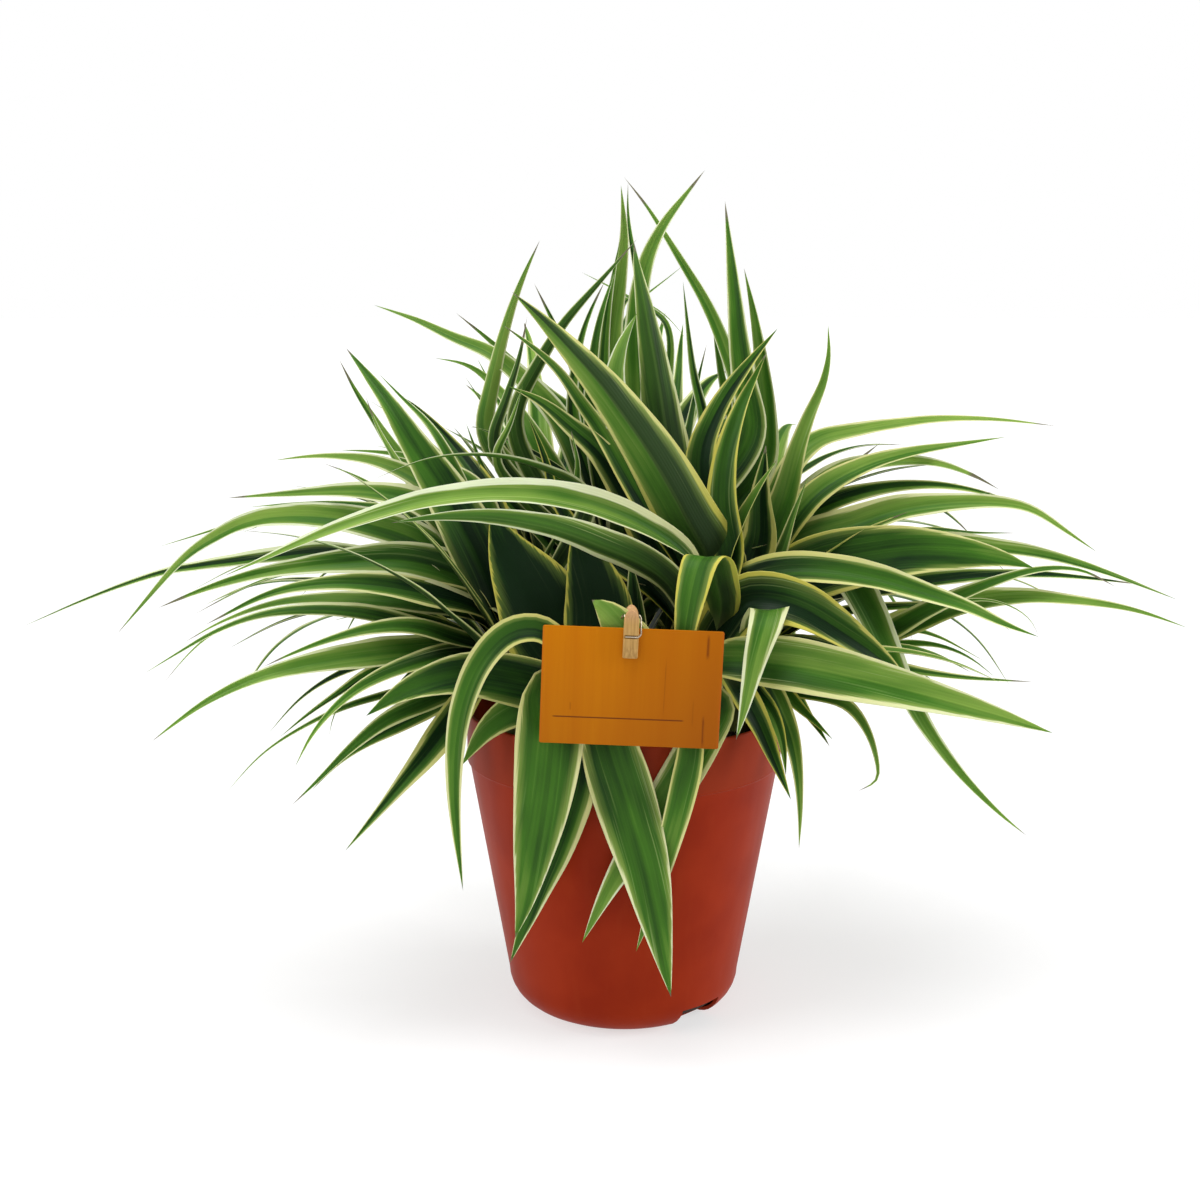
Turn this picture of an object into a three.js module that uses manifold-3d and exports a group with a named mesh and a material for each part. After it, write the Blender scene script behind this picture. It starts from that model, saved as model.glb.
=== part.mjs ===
// Potted spider plant: seven rosettes of long striped leaves in a plastic nursery pot,
// with a wooden card held to one leaf by a small spring peg.
// Millimetres, +Z up. The origin is the centre of the pot's underside, and the card faces -Y.

import * as THREE from 'three';
import { mergeVertices } from 'three/addons/utils/BufferGeometryUtils.js';
import Module from 'manifold-3d';

const wasm = await Module();
wasm.setup();

// ---------------------------------------------------------------- driving dimensions

const RIM_RADIUS = 60;
const POT_HEIGHT = 116.5;
const BAND_HEIGHT = 20;
const WALL_TOP_RADIUS = 59.1;
const FOOT_RADIUS = 44.7;
const FOOT_CORNER = 13;
const POT_WALL = 1.3;
const POT_SIDES = 36;
const NOTCH = { width: 19, height: 9, angles: [42, 222] };

const CLEARANCE = 0.35;
const SOIL_TOP = 104;
const SOIL_HUMP = 2.5;
const CROWN_DEPTH = 10;
const STEM_SIDES = 8;

const CARD = { width: 60.6, height: 40.4, thick: 1.2, depth: -73, middle: [631.2, 687.3], tilt: 2.3 };
const PEG = {
  middle: [631.5, 619], width: 5.1, jaw: 2.4, top: 3.9, bottom: 12.8, gap: 2.1, flare: 1.2,
  groove: { down: 5.3, height: 1.2, depth: 0.8 }, coil: 1.4, wire: 0.32, turns: 2.5,
};

// A strap leaf: thickness at the midrib, width at the base and the widest place as shares, how
// deep the fold is at the base and past it, and by where the blade has turned its face.
const BLADE = {
  thick: 1.3, tipThinner: 0.35, baseWidth: 0.36, widest: 0.4, taper: 1.65,
  fold: [0.55, 0.18], openBy: 0.4, turnedBy: 0.35, step: 37, steps: [4, 7],
};
// A leaf leaves its stem upwards: it bends out after this share of its first course.
const START = { shortest: 22, share: 0.4, lift: 0.16, mostLift: 14 };
const COLLAR_RISE = 4;
const STEM_RISES = [0.35, 0.6];
const GOLDEN_SHARE = 0.618;
const SAFE_GAP = 0.35;
const KIN_GAP = 0.1;
const FINEST_EDGE = 0.08;
const SAME_PLACE = 1e-3;
const PART_BY = 0.03;
const FREE_FROM = [0.14, 0.34];

// The view that the leaf readings below were taken in: a 1200 x 1200 frame.
const VIEW = { distance: 600, height: 266.2, pitch: 10.29, focal: 1611, x: -9.15, centre: 600 };

// Where each rosette stands in the soil, and where its leaf bases part.
const CROWNS = {
  front: { foot: [4, -34], neck: [4, -42, 134], radius: [8, 5.5] },
  left: { foot: [-37, -12], neck: [-42, -19, 137], radius: [8.5, 6] },
  centre: { foot: [25, -15], neck: [31, -24, 146], radius: [8.5, 6] },
  right: { foot: [40, 14], neck: [49, 7, 144], radius: [8.5, 6] },
  top: { foot: [1, 9], neck: [2, 12, 142], radius: [8.5, 6] },
  rear_left: { foot: [-25, 32], neck: [-30, 37, 136], radius: [8, 5.5] },
  rear_right: { foot: [16, 41], neck: [19, 45, 137], radius: [8, 5.5] },
};

const COLOURS = {
  pot: 0x9a3418, soil: 0x2b1d14, leaf: 0x3f7a2e, card: 0xc47812, wood: 0xc8a85a, wire: 0xb9b6ae,
};

// ---------------------------------------------------------------- leaf readings

// One row per leaf: width in mm, how far the blade turns its face to the view (0 to 1),
// the depth of the tip (mm, +Y is away from the view), then the midrib from base to tip as
// [across, down] in the view's frame, or [across, down, depth] where the depth is known.
const LEAVES = {
  front: [
    [20, 1.0, -68, [552, 690, -58], [545, 728, -65], [541, 765], [537, 805], [531, 850], [524, 900],
      [515, 938]],
    [22, 1.0, -69, [600, 700, -56], [607, 742, -64], [622, 790], [634, 830], [646, 872], [657, 925],
      [671, 997]],
    [12, 0.8, -58, [575, 700, -52], [572, 765, -62.5], [562, 810, -61], [552, 850], [538, 890],
      [510, 963]],
    [15, 0.8, -62, [722, 706, -52], [700, 745, -62], [675, 785], [650, 825], [625, 862], [603, 900],
      [582, 943]],
    [10, 0.7, -54, [692, 735, -60], [682, 795, -60], [670, 840], [656, 890], [636, 952]],
    [14, 0.8, -72, [566, 650, -62], [541, 629], [510, 632], [482, 660], [464, 700], [456, 740],
      [454, 800], [463, 891]],
    [19, 0.9, -70, [560, 690], [510, 680], [465, 674], [430, 681], [398, 694], [366, 716]],
    [20, 0.9, -34, [560, 640], [532, 592], [508, 552], [490, 512]],
    [19, 0.9, -34, [602, 640], [597, 600], [586, 562], [574, 520]],
    [9, 0.8, -38, [636, 640], [633, 590], [630, 556]],
    [16, 0.9, -50, [580, 700, -50], [525, 706], [488, 728], [462, 765]],
  ],
  left: [
    [16, 0.8, -40, [500, 605], [450, 572], [400, 560], [350, 562], [300, 567], [250, 576],
      [200, 591], [158, 608]],
    [13, 0.6, -46, [482, 612], [430, 596], [385, 587], [330, 584], [270, 594], [205, 625]],
    [12, 0.4, -30, [478, 620], [420, 607], [370, 602], [310, 600], [260, 608], [218, 624], [185, 642]],
    [10, 0.4, -52, [478, 645], [425, 628], [370, 613], [320, 607], [265, 610], [215, 627],
      [180, 646], [145, 666]],
    [8, 0.3, -20, [400, 618], [330, 611], [265, 616], [215, 633], [188, 655], [163, 684]],
    [7, 0.3, 0, [430, 636], [390, 620], [355, 616], [332, 621]],
    [10, 0.5, -50, [460, 643], [415, 628], [370, 630], [325, 642], [290, 655], [263, 667]],
    [14, 0.6, -70, [480, 652], [420, 652], [360, 657], [300, 667], [255, 679], [210, 700],
      [180, 720], [151, 742]],
    [7, 0.4, -20, [430, 660], [380, 662], [345, 672], [318, 686], [294, 705], [268, 734]],
    [9, 0.5, -40, [440, 662], [375, 672], [340, 693], [305, 717], [280, 737]],
    [10, 0.5, -72, [462, 655], [405, 668], [362, 687], [335, 708], [312, 735], [295, 767]],
    [5, 0.4, -10, [400, 670], [360, 690], [336, 711], [329, 736]],
    [5, 0.4, -30, [410, 690], [350, 706], [300, 729], [260, 756], [226, 793]],
    [10, 0.6, -60, [462, 690], [420, 706], [385, 722], [350, 750], [318, 781], [292, 805]],
    [9, 0.6, -30, [450, 700], [410, 722], [370, 742], [340, 762], [312, 790]],
    [13, 0.8, -66, [482, 690], [452, 724], [425, 758], [400, 787], [372, 820], [345, 851]],
    [8, 0.5, -10, [465, 690], [440, 718], [414, 754]],
    [7, 0.5, -6, [450, 655], [412, 671], [388, 698]],
    [14, 0.7, 10, [430, 548], [380, 527], [330, 518], [290, 516], [250, 521], [215, 537],
      [184, 558], [150, 596], [117, 634]],
    [8, 0.5, 26, [400, 522], [340, 512], [290, 509], [250, 518], [214, 530], [158, 547]],
    [12, 0.4, 34, [420, 575], [330, 553], [280, 557], [240, 562], [200, 567], [159, 574], [92, 597],
      [24, 626]],
    [12, 0.7, 20, [430, 508], [380, 493], [340, 491], [287, 494], [227, 498]],
    [10, 0.5, 40, [410, 520], [350, 506], [300, 504], [249, 507]],
    [13, 0.7, 14, [430, 492], [380, 466], [340, 460], [300, 461], [270, 465]],
    [10, 0.6, 30, [480, 492], [430, 463], [385, 453], [339, 450]],
    [15, 0.9, 8, [450, 500], [415, 446], [390, 406], [368, 376], [346, 348]],
    [11, 0.8, 16, [430, 500], [398, 456], [375, 421], [355, 390], [339, 359]],
    [9, 0.8, 4, [412, 496], [380, 452], [364, 428], [352, 404]],
    [13, 0.8, 26, [490, 500], [456, 449], [435, 425], [415, 406], [401, 396]],
    [6, 0.6, 40, [440, 440], [402, 398], [379, 374]],
    [9, 0.3, -46, [590, 500], [540, 468], [500, 457], [460, 455], [420, 461], [372, 480]],
  ],
  centre: [
    [21, 0.9, -52, [708, 560], [691, 528], [672, 492], [650, 455], [625, 418], [600, 384],
      [568, 348], [540, 318], [512, 292]],
    [15, 0.6, -84, [690, 562], [650, 530], [600, 508], [550, 496], [500, 493], [440, 498],
      [380, 513], [320, 534], [270, 556], [224, 576]],
    [14, 0.6, -70, [672, 588], [640, 563], [600, 546], [560, 531], [520, 522], [478, 517],
      [430, 518], [391, 523]],
    [15, 0.9, -66, [722, 592], [712, 563, -46], [699, 572, -58], [689, 605], [683, 640], [676, 700]],
    [14, 0.6, -66, [722, 600], [748, 582], [785, 571], [830, 572], [880, 581], [930, 596],
      [970, 609], [1005, 625], [1039, 637]],
    [15, 0.9, -6, [722, 560], [708, 510], [700, 456], [720, 404], [750, 362], [778, 328]],
    [13, 0.8, 6, [730, 560], [722, 505], [726, 455], [740, 408], [754, 378], [767, 352]],
    [13, 0.9, -20, [733, 566], [718, 526], [711, 482], [711, 440]],
    [17, 0.9, -10, [745, 575], [760, 540], [760, 500], [766, 445]],
    [20, 0.9, -74, [716, 660, -50], [745, 662], [800, 667], [850, 677], [900, 689], [950, 702],
      [1000, 716], [1053, 733]],
    [12, 0.9, -73, [738, 604, -52], [762, 612, -66], [758, 650], [749, 690], [741, 722], [736, 740]],
    [10, 0.7, -62, [722, 668, -44], [742, 694, -58], [758, 722], [772, 755], [791, 800]],
    [8, 0.7, -60, [735, 660], [752, 690], [771, 712], [782, 742], [786, 776]],
    [18, 0.8, -40, [720, 645], [760, 612], [800, 606], [845, 632], [885, 660], [915, 692]],
    [13, 0.6, 4, [720, 560], [738, 534], [756, 532], [768, 556]],
    [16, 0.9, -14, [662, 560], [625, 490], [600, 452], [570, 426], [540, 401], [508, 386]],
    [9, 0.8, -4, [640, 500], [600, 430], [580, 402], [560, 373], [535, 349], [503, 325]],
    [8, 0.8, -20, [590, 545], [556, 502], [547, 466], [538, 440], [527, 414]],
  ],
  right: [
    [15, 0.8, 14, [785, 500], [797, 452], [810, 415], [823, 385], [829, 355], [828, 324]],
    [9, 0.8, -4, [780, 556], [793, 516], [808, 477]],
    [12, 0.5, 54, [790, 470], [818, 441], [850, 433], [900, 424], [950, 419], [1000, 420], [1056, 426]],
    [12, 0.6, 44, [810, 500], [860, 468], [905, 454], [950, 446], [1006, 437]],
    [14, 0.7, 20, [790, 530], [812, 494], [840, 473], [870, 464], [905, 461], [940, 464],
      [972, 475], [1000, 490]],
    [13, 0.6, 24, [795, 525], [845, 499], [900, 487], [960, 488], [1022, 504]],
    [16, 0.6, -4, [780, 560], [812, 538], [850, 528], [890, 514], [930, 506], [985, 503],
      [1030, 509], [1065, 531], [1097, 552]],
    [19, 0.9, -24, [790, 580], [830, 563], [870, 556], [910, 551], [955, 552], [1000, 558],
      [1034, 568]],
    [6, 0.5, 40, [870, 548], [925, 530], [970, 533], [1018, 533]],
    [13, 0.5, 4, [850, 575], [900, 555], [955, 546], [1000, 549], [1050, 557], [1090, 568],
      [1130, 582], [1178, 600]],
    [12, 0.5, -14, [840, 660], [880, 640], [920, 616], [960, 597], [1000, 581], [1040, 570],
      [1080, 570], [1116, 587]],
    [15, 0.5, 14, [870, 640], [930, 616], [980, 602], [1030, 598], [1090, 603], [1140, 612],
      [1188, 628]],
    [12, 0.4, 30, [830, 600], [880, 592], [930, 583], [990, 577], [1050, 576], [1100, 580],
      [1144, 585]],
    [15, 0.8, -46, [820, 555], [845, 572], [866, 606], [885, 645], [905, 690], [930, 734],
      [965, 779], [1000, 814], [1027, 836]],
    [8, 0.4, -10, [840, 665], [890, 668], [930, 674], [975, 679], [1035, 682]],
    [7, 0.5, 20, [870, 650], [905, 644], [940, 646], [970, 658], [996, 678]],
    [7, 0.5, 34, [870, 636], [910, 630], [940, 638], [962, 649], [984, 661]],
    [7, 0.5, 6, [860, 655], [900, 648], [938, 656], [972, 673]],
    [6, 0.4, 40, [930, 606], [985, 600], [1014, 608], [1031, 621], [1039, 637]],
    [7, 0.6, -34, [790, 690], [820, 696], [848, 706], [866, 729], [876, 758], [877, 780], [858, 791]],
    [9, 0.7, -44, [765, 680], [780, 708], [792, 740], [798, 775], [800, 812], [799, 849]],
    [9, 0.6, -20, [775, 690], [790, 712], [805, 730], [819, 748]],
    [7, 0.6, -4, [790, 690], [808, 716], [820, 732], [830, 747]],
  ],
  top: [
    [13, 0.8, 40, [640, 420], [637, 350], [640, 290], [650, 252], [666, 221], [684, 197], [705, 170]],
    [12, 0.8, 24, [612, 430], [608, 370], [612, 322], [619, 280], [624, 240], [623, 210], [621, 185]],
    [7, 0.6, 34, [648, 400], [644, 310], [633, 252], [628, 215], [628, 183]],
    [18, 0.8, 6, [672, 480], [666, 430], [660, 390], [652, 345], [644, 300], [637, 264], [634, 242]],
    [11, 0.8, -6, [630, 450], [619, 400], [620, 372], [629, 342], [644, 313]],
    [5, 0.5, 60, [620, 340], [634, 306], [650, 292], [668, 278], [685, 264]],
    [8, 0.5, 52, [742, 420], [728, 356], [708, 307], [689, 274], [667, 238], [648, 208], [624, 177]],
    [7, 0.6, 44, [706, 440], [694, 376], [688, 328], [683, 281]],
    [8, 0.7, 30, [735, 440], [725, 392], [717, 345], [711, 300]],
    [6, 0.7, 56, [684, 450], [692, 412], [699, 376], [707, 343]],
    [6, 0.5, 66, [620, 300], [650, 306], [668, 318], [687, 340]],
    [14, 0.9, 30, [752, 440], [745, 385], [739, 341], [735, 300], [731, 260], [725, 201]],
    [14, 0.8, 16, [764, 470], [768, 420], [762, 360], [754, 312], [744, 268]],
    [9, 0.7, 6, [512, 430], [540, 362], [565, 322], [590, 293], [612, 268], [637, 239]],
    [8, 0.8, 20, [572, 420], [578, 350], [590, 312], [605, 281]],
    [9, 0.8, 10, [590, 420], [594, 350], [602, 310], [616, 268]],
    [8, 0.8, 34, [604, 420], [604, 350], [609, 300], [621, 236]],
    [5, 0.5, 58, [672, 330], [640, 304], [612, 288], [581, 272]],
    [9, 0.7, 14, [588, 410], [572, 366], [558, 333], [545, 306], [534, 283]],
    [10, 0.8, 0, [484, 440], [490, 388], [500, 345], [512, 305], [526, 270], [540, 240]],
    [9, 0.8, -8, [492, 450], [505, 402], [519, 358], [527, 317]],
    [9, 0.7, 24, [590, 430], [552, 398], [520, 369], [490, 341], [456, 313]],
    [11, 0.7, 34, [560, 420], [520, 378], [490, 353], [455, 339], [418, 321], [374, 305]],
    [11, 0.8, 46, [530, 430], [505, 398], [484, 376], [464, 364], [434, 358]],
    [7, 0.7, -12, [575, 500], [578, 466], [571, 430]],
    [8, 0.7, -14, [494, 465], [510, 425], [523, 385]],
    [8, 0.6, 4, [488, 480], [474, 446], [466, 423]],
    [6, 0.4, -18, [590, 500], [550, 464], [510, 441], [469, 425]],
  ],
  rear_left: [],
  rear_right: [],
};

// The leaf that the peg grips: it rises straight behind the card and bends away at its tip.
const HELD_LEAF = [
  7.5, 0.97, -69.5, [652, 704, -62], [646, 674, -70.9], [632, 646, -71.1], [613, 626, -71.1],
  [599, 612, -70.5], [585, 603],
];

// Leaves on the sides that the readings don't reach: a fan per rosette, as angles in degrees
// about +Z from +X, the number of leaves, and the range of their lengths and rise angles.
const FANS = [
  { crown: 'rear_left', from: 75, to: 215, count: 22, length: [120, 225], rise: [28, 84] },
  { crown: 'rear_right', from: -20, to: 120, count: 22, length: [120, 225], rise: [28, 84] },
  { crown: 'top', from: 20, to: 160, count: 8, length: [130, 190], rise: [60, 86] },
  { crown: 'left', from: 120, to: 200, count: 5, length: [150, 210], rise: [35, 70] },
  { crown: 'right', from: -20, to: 80, count: 7, length: [150, 215], rise: [30, 70] },
];
const FAN_SEED = 2024;
const FAN_WOBBLE = { turn: 10, rise: 8 };
const FAN_WIDTHS = [9, 16];
const FAN_LENGTH_FROM = 0.35;
const FAN_SHORTEST = 75;
const ARCH = { courses: 6, droop: 150, bend: 1.4, longest: 225 };

// The outline of the whole object in the view's frame. No leaf of a fan shows outside it.
const SEEN_OUTLINE = [
  [512, 1000], [475, 770], [420, 770], [345, 830], [300, 780], [330, 735], [240, 700], [180, 705],
  [225, 650], [165, 650], [200, 600], [140, 590], [235, 535], [250, 500], [300, 470], [370, 445],
  [358, 375], [425, 425], [470, 420], [455, 345], [490, 365], [528, 290], [565, 325], [612, 290],
  [625, 195], [650, 260], [695, 190], [668, 300], [700, 330], [728, 225], [745, 320], [775, 350],
  [780, 440], [828, 345], [820, 450], [1000, 425], [960, 470], [1060, 525], [1150, 590],
  [1030, 620], [1010, 690], [920, 690], [1000, 800], [880, 720], [845, 715], [800, 810],
  [772, 770], [735, 1000],
];

// ---------------------------------------------------------------- small helpers

const radians = THREE.MathUtils.degToRad;
const { lerp } = THREE.MathUtils;
const vec = (x, y, z) => new THREE.Vector3(x, y, z);
const UP = vec(0, 0, 1);

function seededDraw(seed) {
  let state = seed;
  return () => {
    state = (state + 0x6d2b79f5) | 0;
    let mixed = Math.imul(state ^ (state >>> 15), 1 | state);
    mixed = (mixed + Math.imul(mixed ^ (mixed >>> 7), 61 | mixed)) ^ mixed;
    return ((mixed ^ (mixed >>> 14)) >>> 0) / 4294967296;
  };
}

function solidOf(geometry) {
  const bare = geometry.index ? geometry.toNonIndexed() : geometry.clone();
  bare.deleteAttribute('normal');
  bare.deleteAttribute('uv');
  const merged = mergeVertices(bare, SAME_PLACE);
  return new wasm.Manifold(new wasm.Mesh({
    numProp: 3,
    vertProperties: new Float32Array(merged.attributes.position.array),
    triVerts: new Uint32Array(merged.index.array),
  }));
}

function geometryOf(solid) {
  const { numProp, vertProperties, triVerts } = solid.getMesh();
  const places = new Float32Array((vertProperties.length / numProp) * 3);
  for (let i = 0; i < places.length / 3; i += 1) {
    for (let k = 0; k < 3; k += 1) places[3 * i + k] = vertProperties[numProp * i + k];
  }
  const geometry = new THREE.BufferGeometry();
  geometry.setAttribute('position', new THREE.BufferAttribute(places, 3));
  geometry.setIndex(new THREE.BufferAttribute(new Uint32Array(triVerts), 1));
  return geometry;
}

function matte(colour, roughness = 0.7, metalness = 0) {
  return new THREE.MeshStandardMaterial({ color: colour, roughness, metalness });
}

const plant = new THREE.Group();

function place(name, geometry, material) {
  geometry.computeVertexNormals();
  const mesh = new THREE.Mesh(geometry, material);
  mesh.name = name;
  plant.add(mesh);
}

// The point at a given depth that lies behind a place in the view's frame.
function seenAt(across, down, depth) {
  const pitch = radians(VIEW.pitch);
  const right = (across - VIEW.centre) / VIEW.focal;
  const up = (VIEW.centre - down) / VIEW.focal;
  const reach = (depth + VIEW.distance) / (Math.cos(pitch) + up * Math.sin(pitch));
  const rise = -Math.sin(pitch) + up * Math.cos(pitch);
  return vec(VIEW.x + reach * right, depth, VIEW.height + reach * rise);
}

// The other way round: where a point shows in the view's frame.
function inView(point) {
  const pitch = radians(VIEW.pitch);
  const ray = point.clone().sub(vec(VIEW.x, -VIEW.distance, VIEW.height));
  const reach = ray.y * Math.cos(pitch) - ray.z * Math.sin(pitch);
  const rise = ray.y * Math.sin(pitch) + ray.z * Math.cos(pitch);
  return [VIEW.centre + (VIEW.focal * ray.x) / reach, VIEW.centre - (VIEW.focal * rise) / reach];
}

function insideOutline([across, down]) {
  let inside = false;
  SEEN_OUTLINE.forEach(([x, y], i) => {
    const [lastX, lastY] = SEEN_OUTLINE.at(i - 1);
    const level = y > down !== lastY > down;
    if (level && across < ((lastX - x) * (down - y)) / (lastY - y) + x) inside = !inside;
  });
  return inside;
}

// ---------------------------------------------------------------- pot and soil

function cornerPoints(radius, inset) {
  const points = [];
  const centre = { x: FOOT_RADIUS - FOOT_CORNER, y: FOOT_CORNER };
  for (let turn = -90; turn <= 0; turn += 22.5) {
    points.push(new THREE.Vector2(
      centre.x + (radius - inset) * Math.cos(radians(turn)),
      centre.y + (radius - inset) * Math.sin(radians(turn)),
    ));
  }
  return points;
}

function potSolid() {
  const ledge = POT_HEIGHT - BAND_HEIGHT;
  const outline = [
    new THREE.Vector2(0, 0),
    ...cornerPoints(FOOT_CORNER, 0),
    new THREE.Vector2(WALL_TOP_RADIUS, ledge),
    new THREE.Vector2(RIM_RADIUS, ledge + 0.5),
    new THREE.Vector2(RIM_RADIUS, POT_HEIGHT - 0.6),
    new THREE.Vector2(RIM_RADIUS - 0.6, POT_HEIGHT),
    new THREE.Vector2(RIM_RADIUS - POT_WALL, POT_HEIGHT),
    new THREE.Vector2(WALL_TOP_RADIUS - POT_WALL, ledge),
    ...cornerPoints(FOOT_CORNER, POT_WALL).reverse(),
    new THREE.Vector2(0, POT_WALL),
  ];
  let pot = solidOf(turned(outline));
  for (const angle of NOTCH.angles) {
    const cutter = new THREE.BoxGeometry(NOTCH.width, 2 * FOOT_CORNER, 2 * NOTCH.height);
    cutter.translate(0, -FOOT_RADIUS, 0);
    cutter.rotateZ(radians(angle));
    pot = pot.subtract(solidOf(cutter));
  }
  return pot;
}

// A profile turned about +Z.
function turned(outline, sides = POT_SIDES) {
  const geometry = new THREE.LatheGeometry(outline, sides);
  geometry.rotateX(Math.PI / 2);
  return geometry;
}

function soilSolid() {
  const inset = POT_WALL + CLEARANCE;
  const slope = (WALL_TOP_RADIUS - FOOT_RADIUS) / (POT_HEIGHT - BAND_HEIGHT - FOOT_CORNER);
  const topRadius = WALL_TOP_RADIUS - inset - 0.2;
  const lowRadius = FOOT_RADIUS - inset + slope * 2;
  const outline = [
    new THREE.Vector2(0, inset),
    new THREE.Vector2(FOOT_RADIUS - FOOT_CORNER, inset),
    new THREE.Vector2(FOOT_RADIUS - FOOT_CORNER * 0.3 - inset, FOOT_CORNER * 0.3 + inset * 0.7),
    new THREE.Vector2(lowRadius, FOOT_CORNER + 2),
    new THREE.Vector2(topRadius, POT_HEIGHT - BAND_HEIGHT),
    new THREE.Vector2(topRadius, SOIL_TOP - 1.5),
    new THREE.Vector2(topRadius * 0.75, SOIL_TOP + 0.2),
    new THREE.Vector2(topRadius * 0.4, SOIL_TOP + SOIL_HUMP * 0.7),
    new THREE.Vector2(0, SOIL_TOP + SOIL_HUMP),
  ];
  let soil = solidOf(turned(outline));
  for (const crown of Object.values(CROWNS)) {
    const reach = 30;
    const hole = new THREE.CylinderGeometry(
      crown.radius[0] + CLEARANCE + 0.6, crown.radius[0] + CLEARANCE + 0.6, reach, STEM_SIDES,
    );
    hole.rotateX(Math.PI / 2);
    hole.translate(crown.foot[0], crown.foot[1], SOIL_TOP - CROWN_DEPTH - CLEARANCE + reach / 2);
    soil = soil.subtract(solidOf(hole));
  }
  return soil;
}

// ---------------------------------------------------------------- leaves

// Rings of equal size joined into one closed solid. A last ring may be a single point. Every
// quad is split from an even corner to an odd one, so both faces of a warped blade are alike.
function ringsToSolid(rings, tip) {
  const size = rings[0].length;
  const points = rings.flat();
  const faces = [];
  for (let i = 0; i + 1 < rings.length; i += 1) {
    for (let k = 0; k < size; k += 1) {
      const next = (k + 1) % size;
      const [a, b] = [i * size + k, i * size + next];
      if (k % 2 === 0) faces.push(a, b, b + size, a, b + size, a + size);
      else faces.push(a, b, a + size, b, b + size, a + size);
    }
  }
  for (let k = 1; k + 1 < size; k += 1) faces.push(0, k + 1, k);
  const last = (rings.length - 1) * size;
  if (tip) {
    points.push(tip);
    for (let k = 0; k < size; k += 1) faces.push(last + k, last + ((k + 1) % size), points.length - 1);
  } else {
    for (let k = 1; k + 1 < size; k += 1) faces.push(last, last + k, last + k + 1);
  }
  return new wasm.Manifold(new wasm.Mesh({
    numProp: 3,
    vertProperties: new Float32Array(points.flatMap((p) => [p.x, p.y, p.z])),
    triVerts: new Uint32Array(faces),
  }));
}

const smooth = (t) => THREE.MathUtils.smoothstep(t, 0, 1);

// Narrow and folded at the base, widest before the middle, then a long point.
function widthAt(along) {
  const { baseWidth, widest, taper } = BLADE;
  if (along < widest) return lerp(baseWidth, 1, smooth(along / widest));
  return 1 - ((along - widest) / (1 - widest)) ** taper;
}

// The midrib at even steps, with the direction that the upper face has by nature: towards the
// stem where the leaf rises, up where it lies over, and outwards where it hangs.
function midribStations(places) {
  const curve = new THREE.CatmullRomCurve3(places, false, 'centripetal');
  const steps = THREE.MathUtils.clamp(Math.round(curve.getLength() / BLADE.step), ...BLADE.steps);
  const outward = places[places.length - 1].clone().sub(places[0]).setZ(0).normalize();
  const across = UP.clone().cross(outward);
  const eye = vec(VIEW.x, -VIEW.distance, VIEW.height);
  return Array.from({ length: steps + 1 }, (_, i) => {
    const along = i / steps;
    const point = curve.getPointAt(along);
    const heading = curve.getTangentAt(along);
    const natural = heading.clone().cross(across).normalize();
    return { along, point, heading, natural, toEye: eye.clone().sub(point).normalize() };
  });
}

// The turn about the midrib that brings the natural face towards an aim.
function rollTowards({ natural, heading }, aim) {
  const square = aim.clone().addScaledVector(heading, -aim.dot(heading));
  return Math.atan2(natural.clone().cross(square).dot(heading), natural.dot(square));
}

// A closed blade with a folded section. It rolls from its natural face towards the view, with
// whichever face is nearer to it.
function bladeSolid(leaf, places, grow = 0, from = 0) {
  const stations = midribStations(places);
  const steps = stations.length - 1;
  const turned = (along) => leaf.face * smooth(along / BLADE.turnedBy);
  const lit = stations.reduce((sum, at) => sum + turned(at.along) * at.natural.dot(at.toEye), 0);
  const rings = [];
  let roll = 0;
  for (let i = 0; i < steps; i += 1) {
    const { along, point, heading, natural, toEye } = stations[i];
    const found = rollTowards(stations[i], toEye.multiplyScalar(lit < 0 ? -1 : 1));
    roll = found + 2 * Math.PI * Math.round((roll - found) / (2 * Math.PI));
    const normal = natural.clone().applyAxisAngle(heading, roll * turned(along));
    const side = normal.clone().cross(heading);
    const half = (leaf.width / 2) * widthAt(along) + grow;
    const cup = half * lerp(...BLADE.fold, smooth(along / BLADE.openBy));
    const thick = BLADE.thick * (1 - BLADE.tipThinner * along);
    if (i < Math.round(from * steps)) continue;
    rings.push([
      point.clone().addScaledVector(normal, -thick - grow),
      point.clone().addScaledVector(side, half).addScaledVector(normal, cup),
      point.clone().addScaledVector(normal, grow),
      point.clone().addScaledVector(side, -half).addScaledVector(normal, cup),
    ]);
  }
  return ringsToSolid(rings, stations[steps].point);
}

// The stem of folded leaf bases that a rosette stands on.
function stemSolid(crown) {
  const foot = vec(crown.foot[0], crown.foot[1], SOIL_TOP - CROWN_DEPTH);
  const collar = vec(crown.foot[0], crown.foot[1], SOIL_TOP + COLLAR_RISE);
  const neck = vec(...crown.neck);
  const levels = [
    [foot, crown.radius[0] * 0.9], [collar, crown.radius[0]],
    [collar.clone().lerp(neck, 0.6), crown.radius[1] * 1.1], [neck, crown.radius[1] * 0.7],
  ];
  const rings = levels.map(([centre, radius]) => Array.from({ length: STEM_SIDES }, (_, k) => {
    const turn = (2 * Math.PI * k) / STEM_SIDES;
    return centre.clone().add(vec(radius * Math.cos(turn), radius * Math.sin(turn), 0));
  }));
  return ringsToSolid(rings);
}

// Leaves take turns up the stem: each starts a golden share of the way round from the last.
const tierOf = (i) => (i * GOLDEN_SHARE) % 1;
const stemRise = (tier) => STEM_RISES[0] + STEM_RISES[1] * tier;

function stemPoint(crown, rise) {
  const collar = vec(crown.foot[0], crown.foot[1], SOIL_TOP + COLLAR_RISE);
  return collar.lerp(vec(...crown.neck), rise);
}

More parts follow.
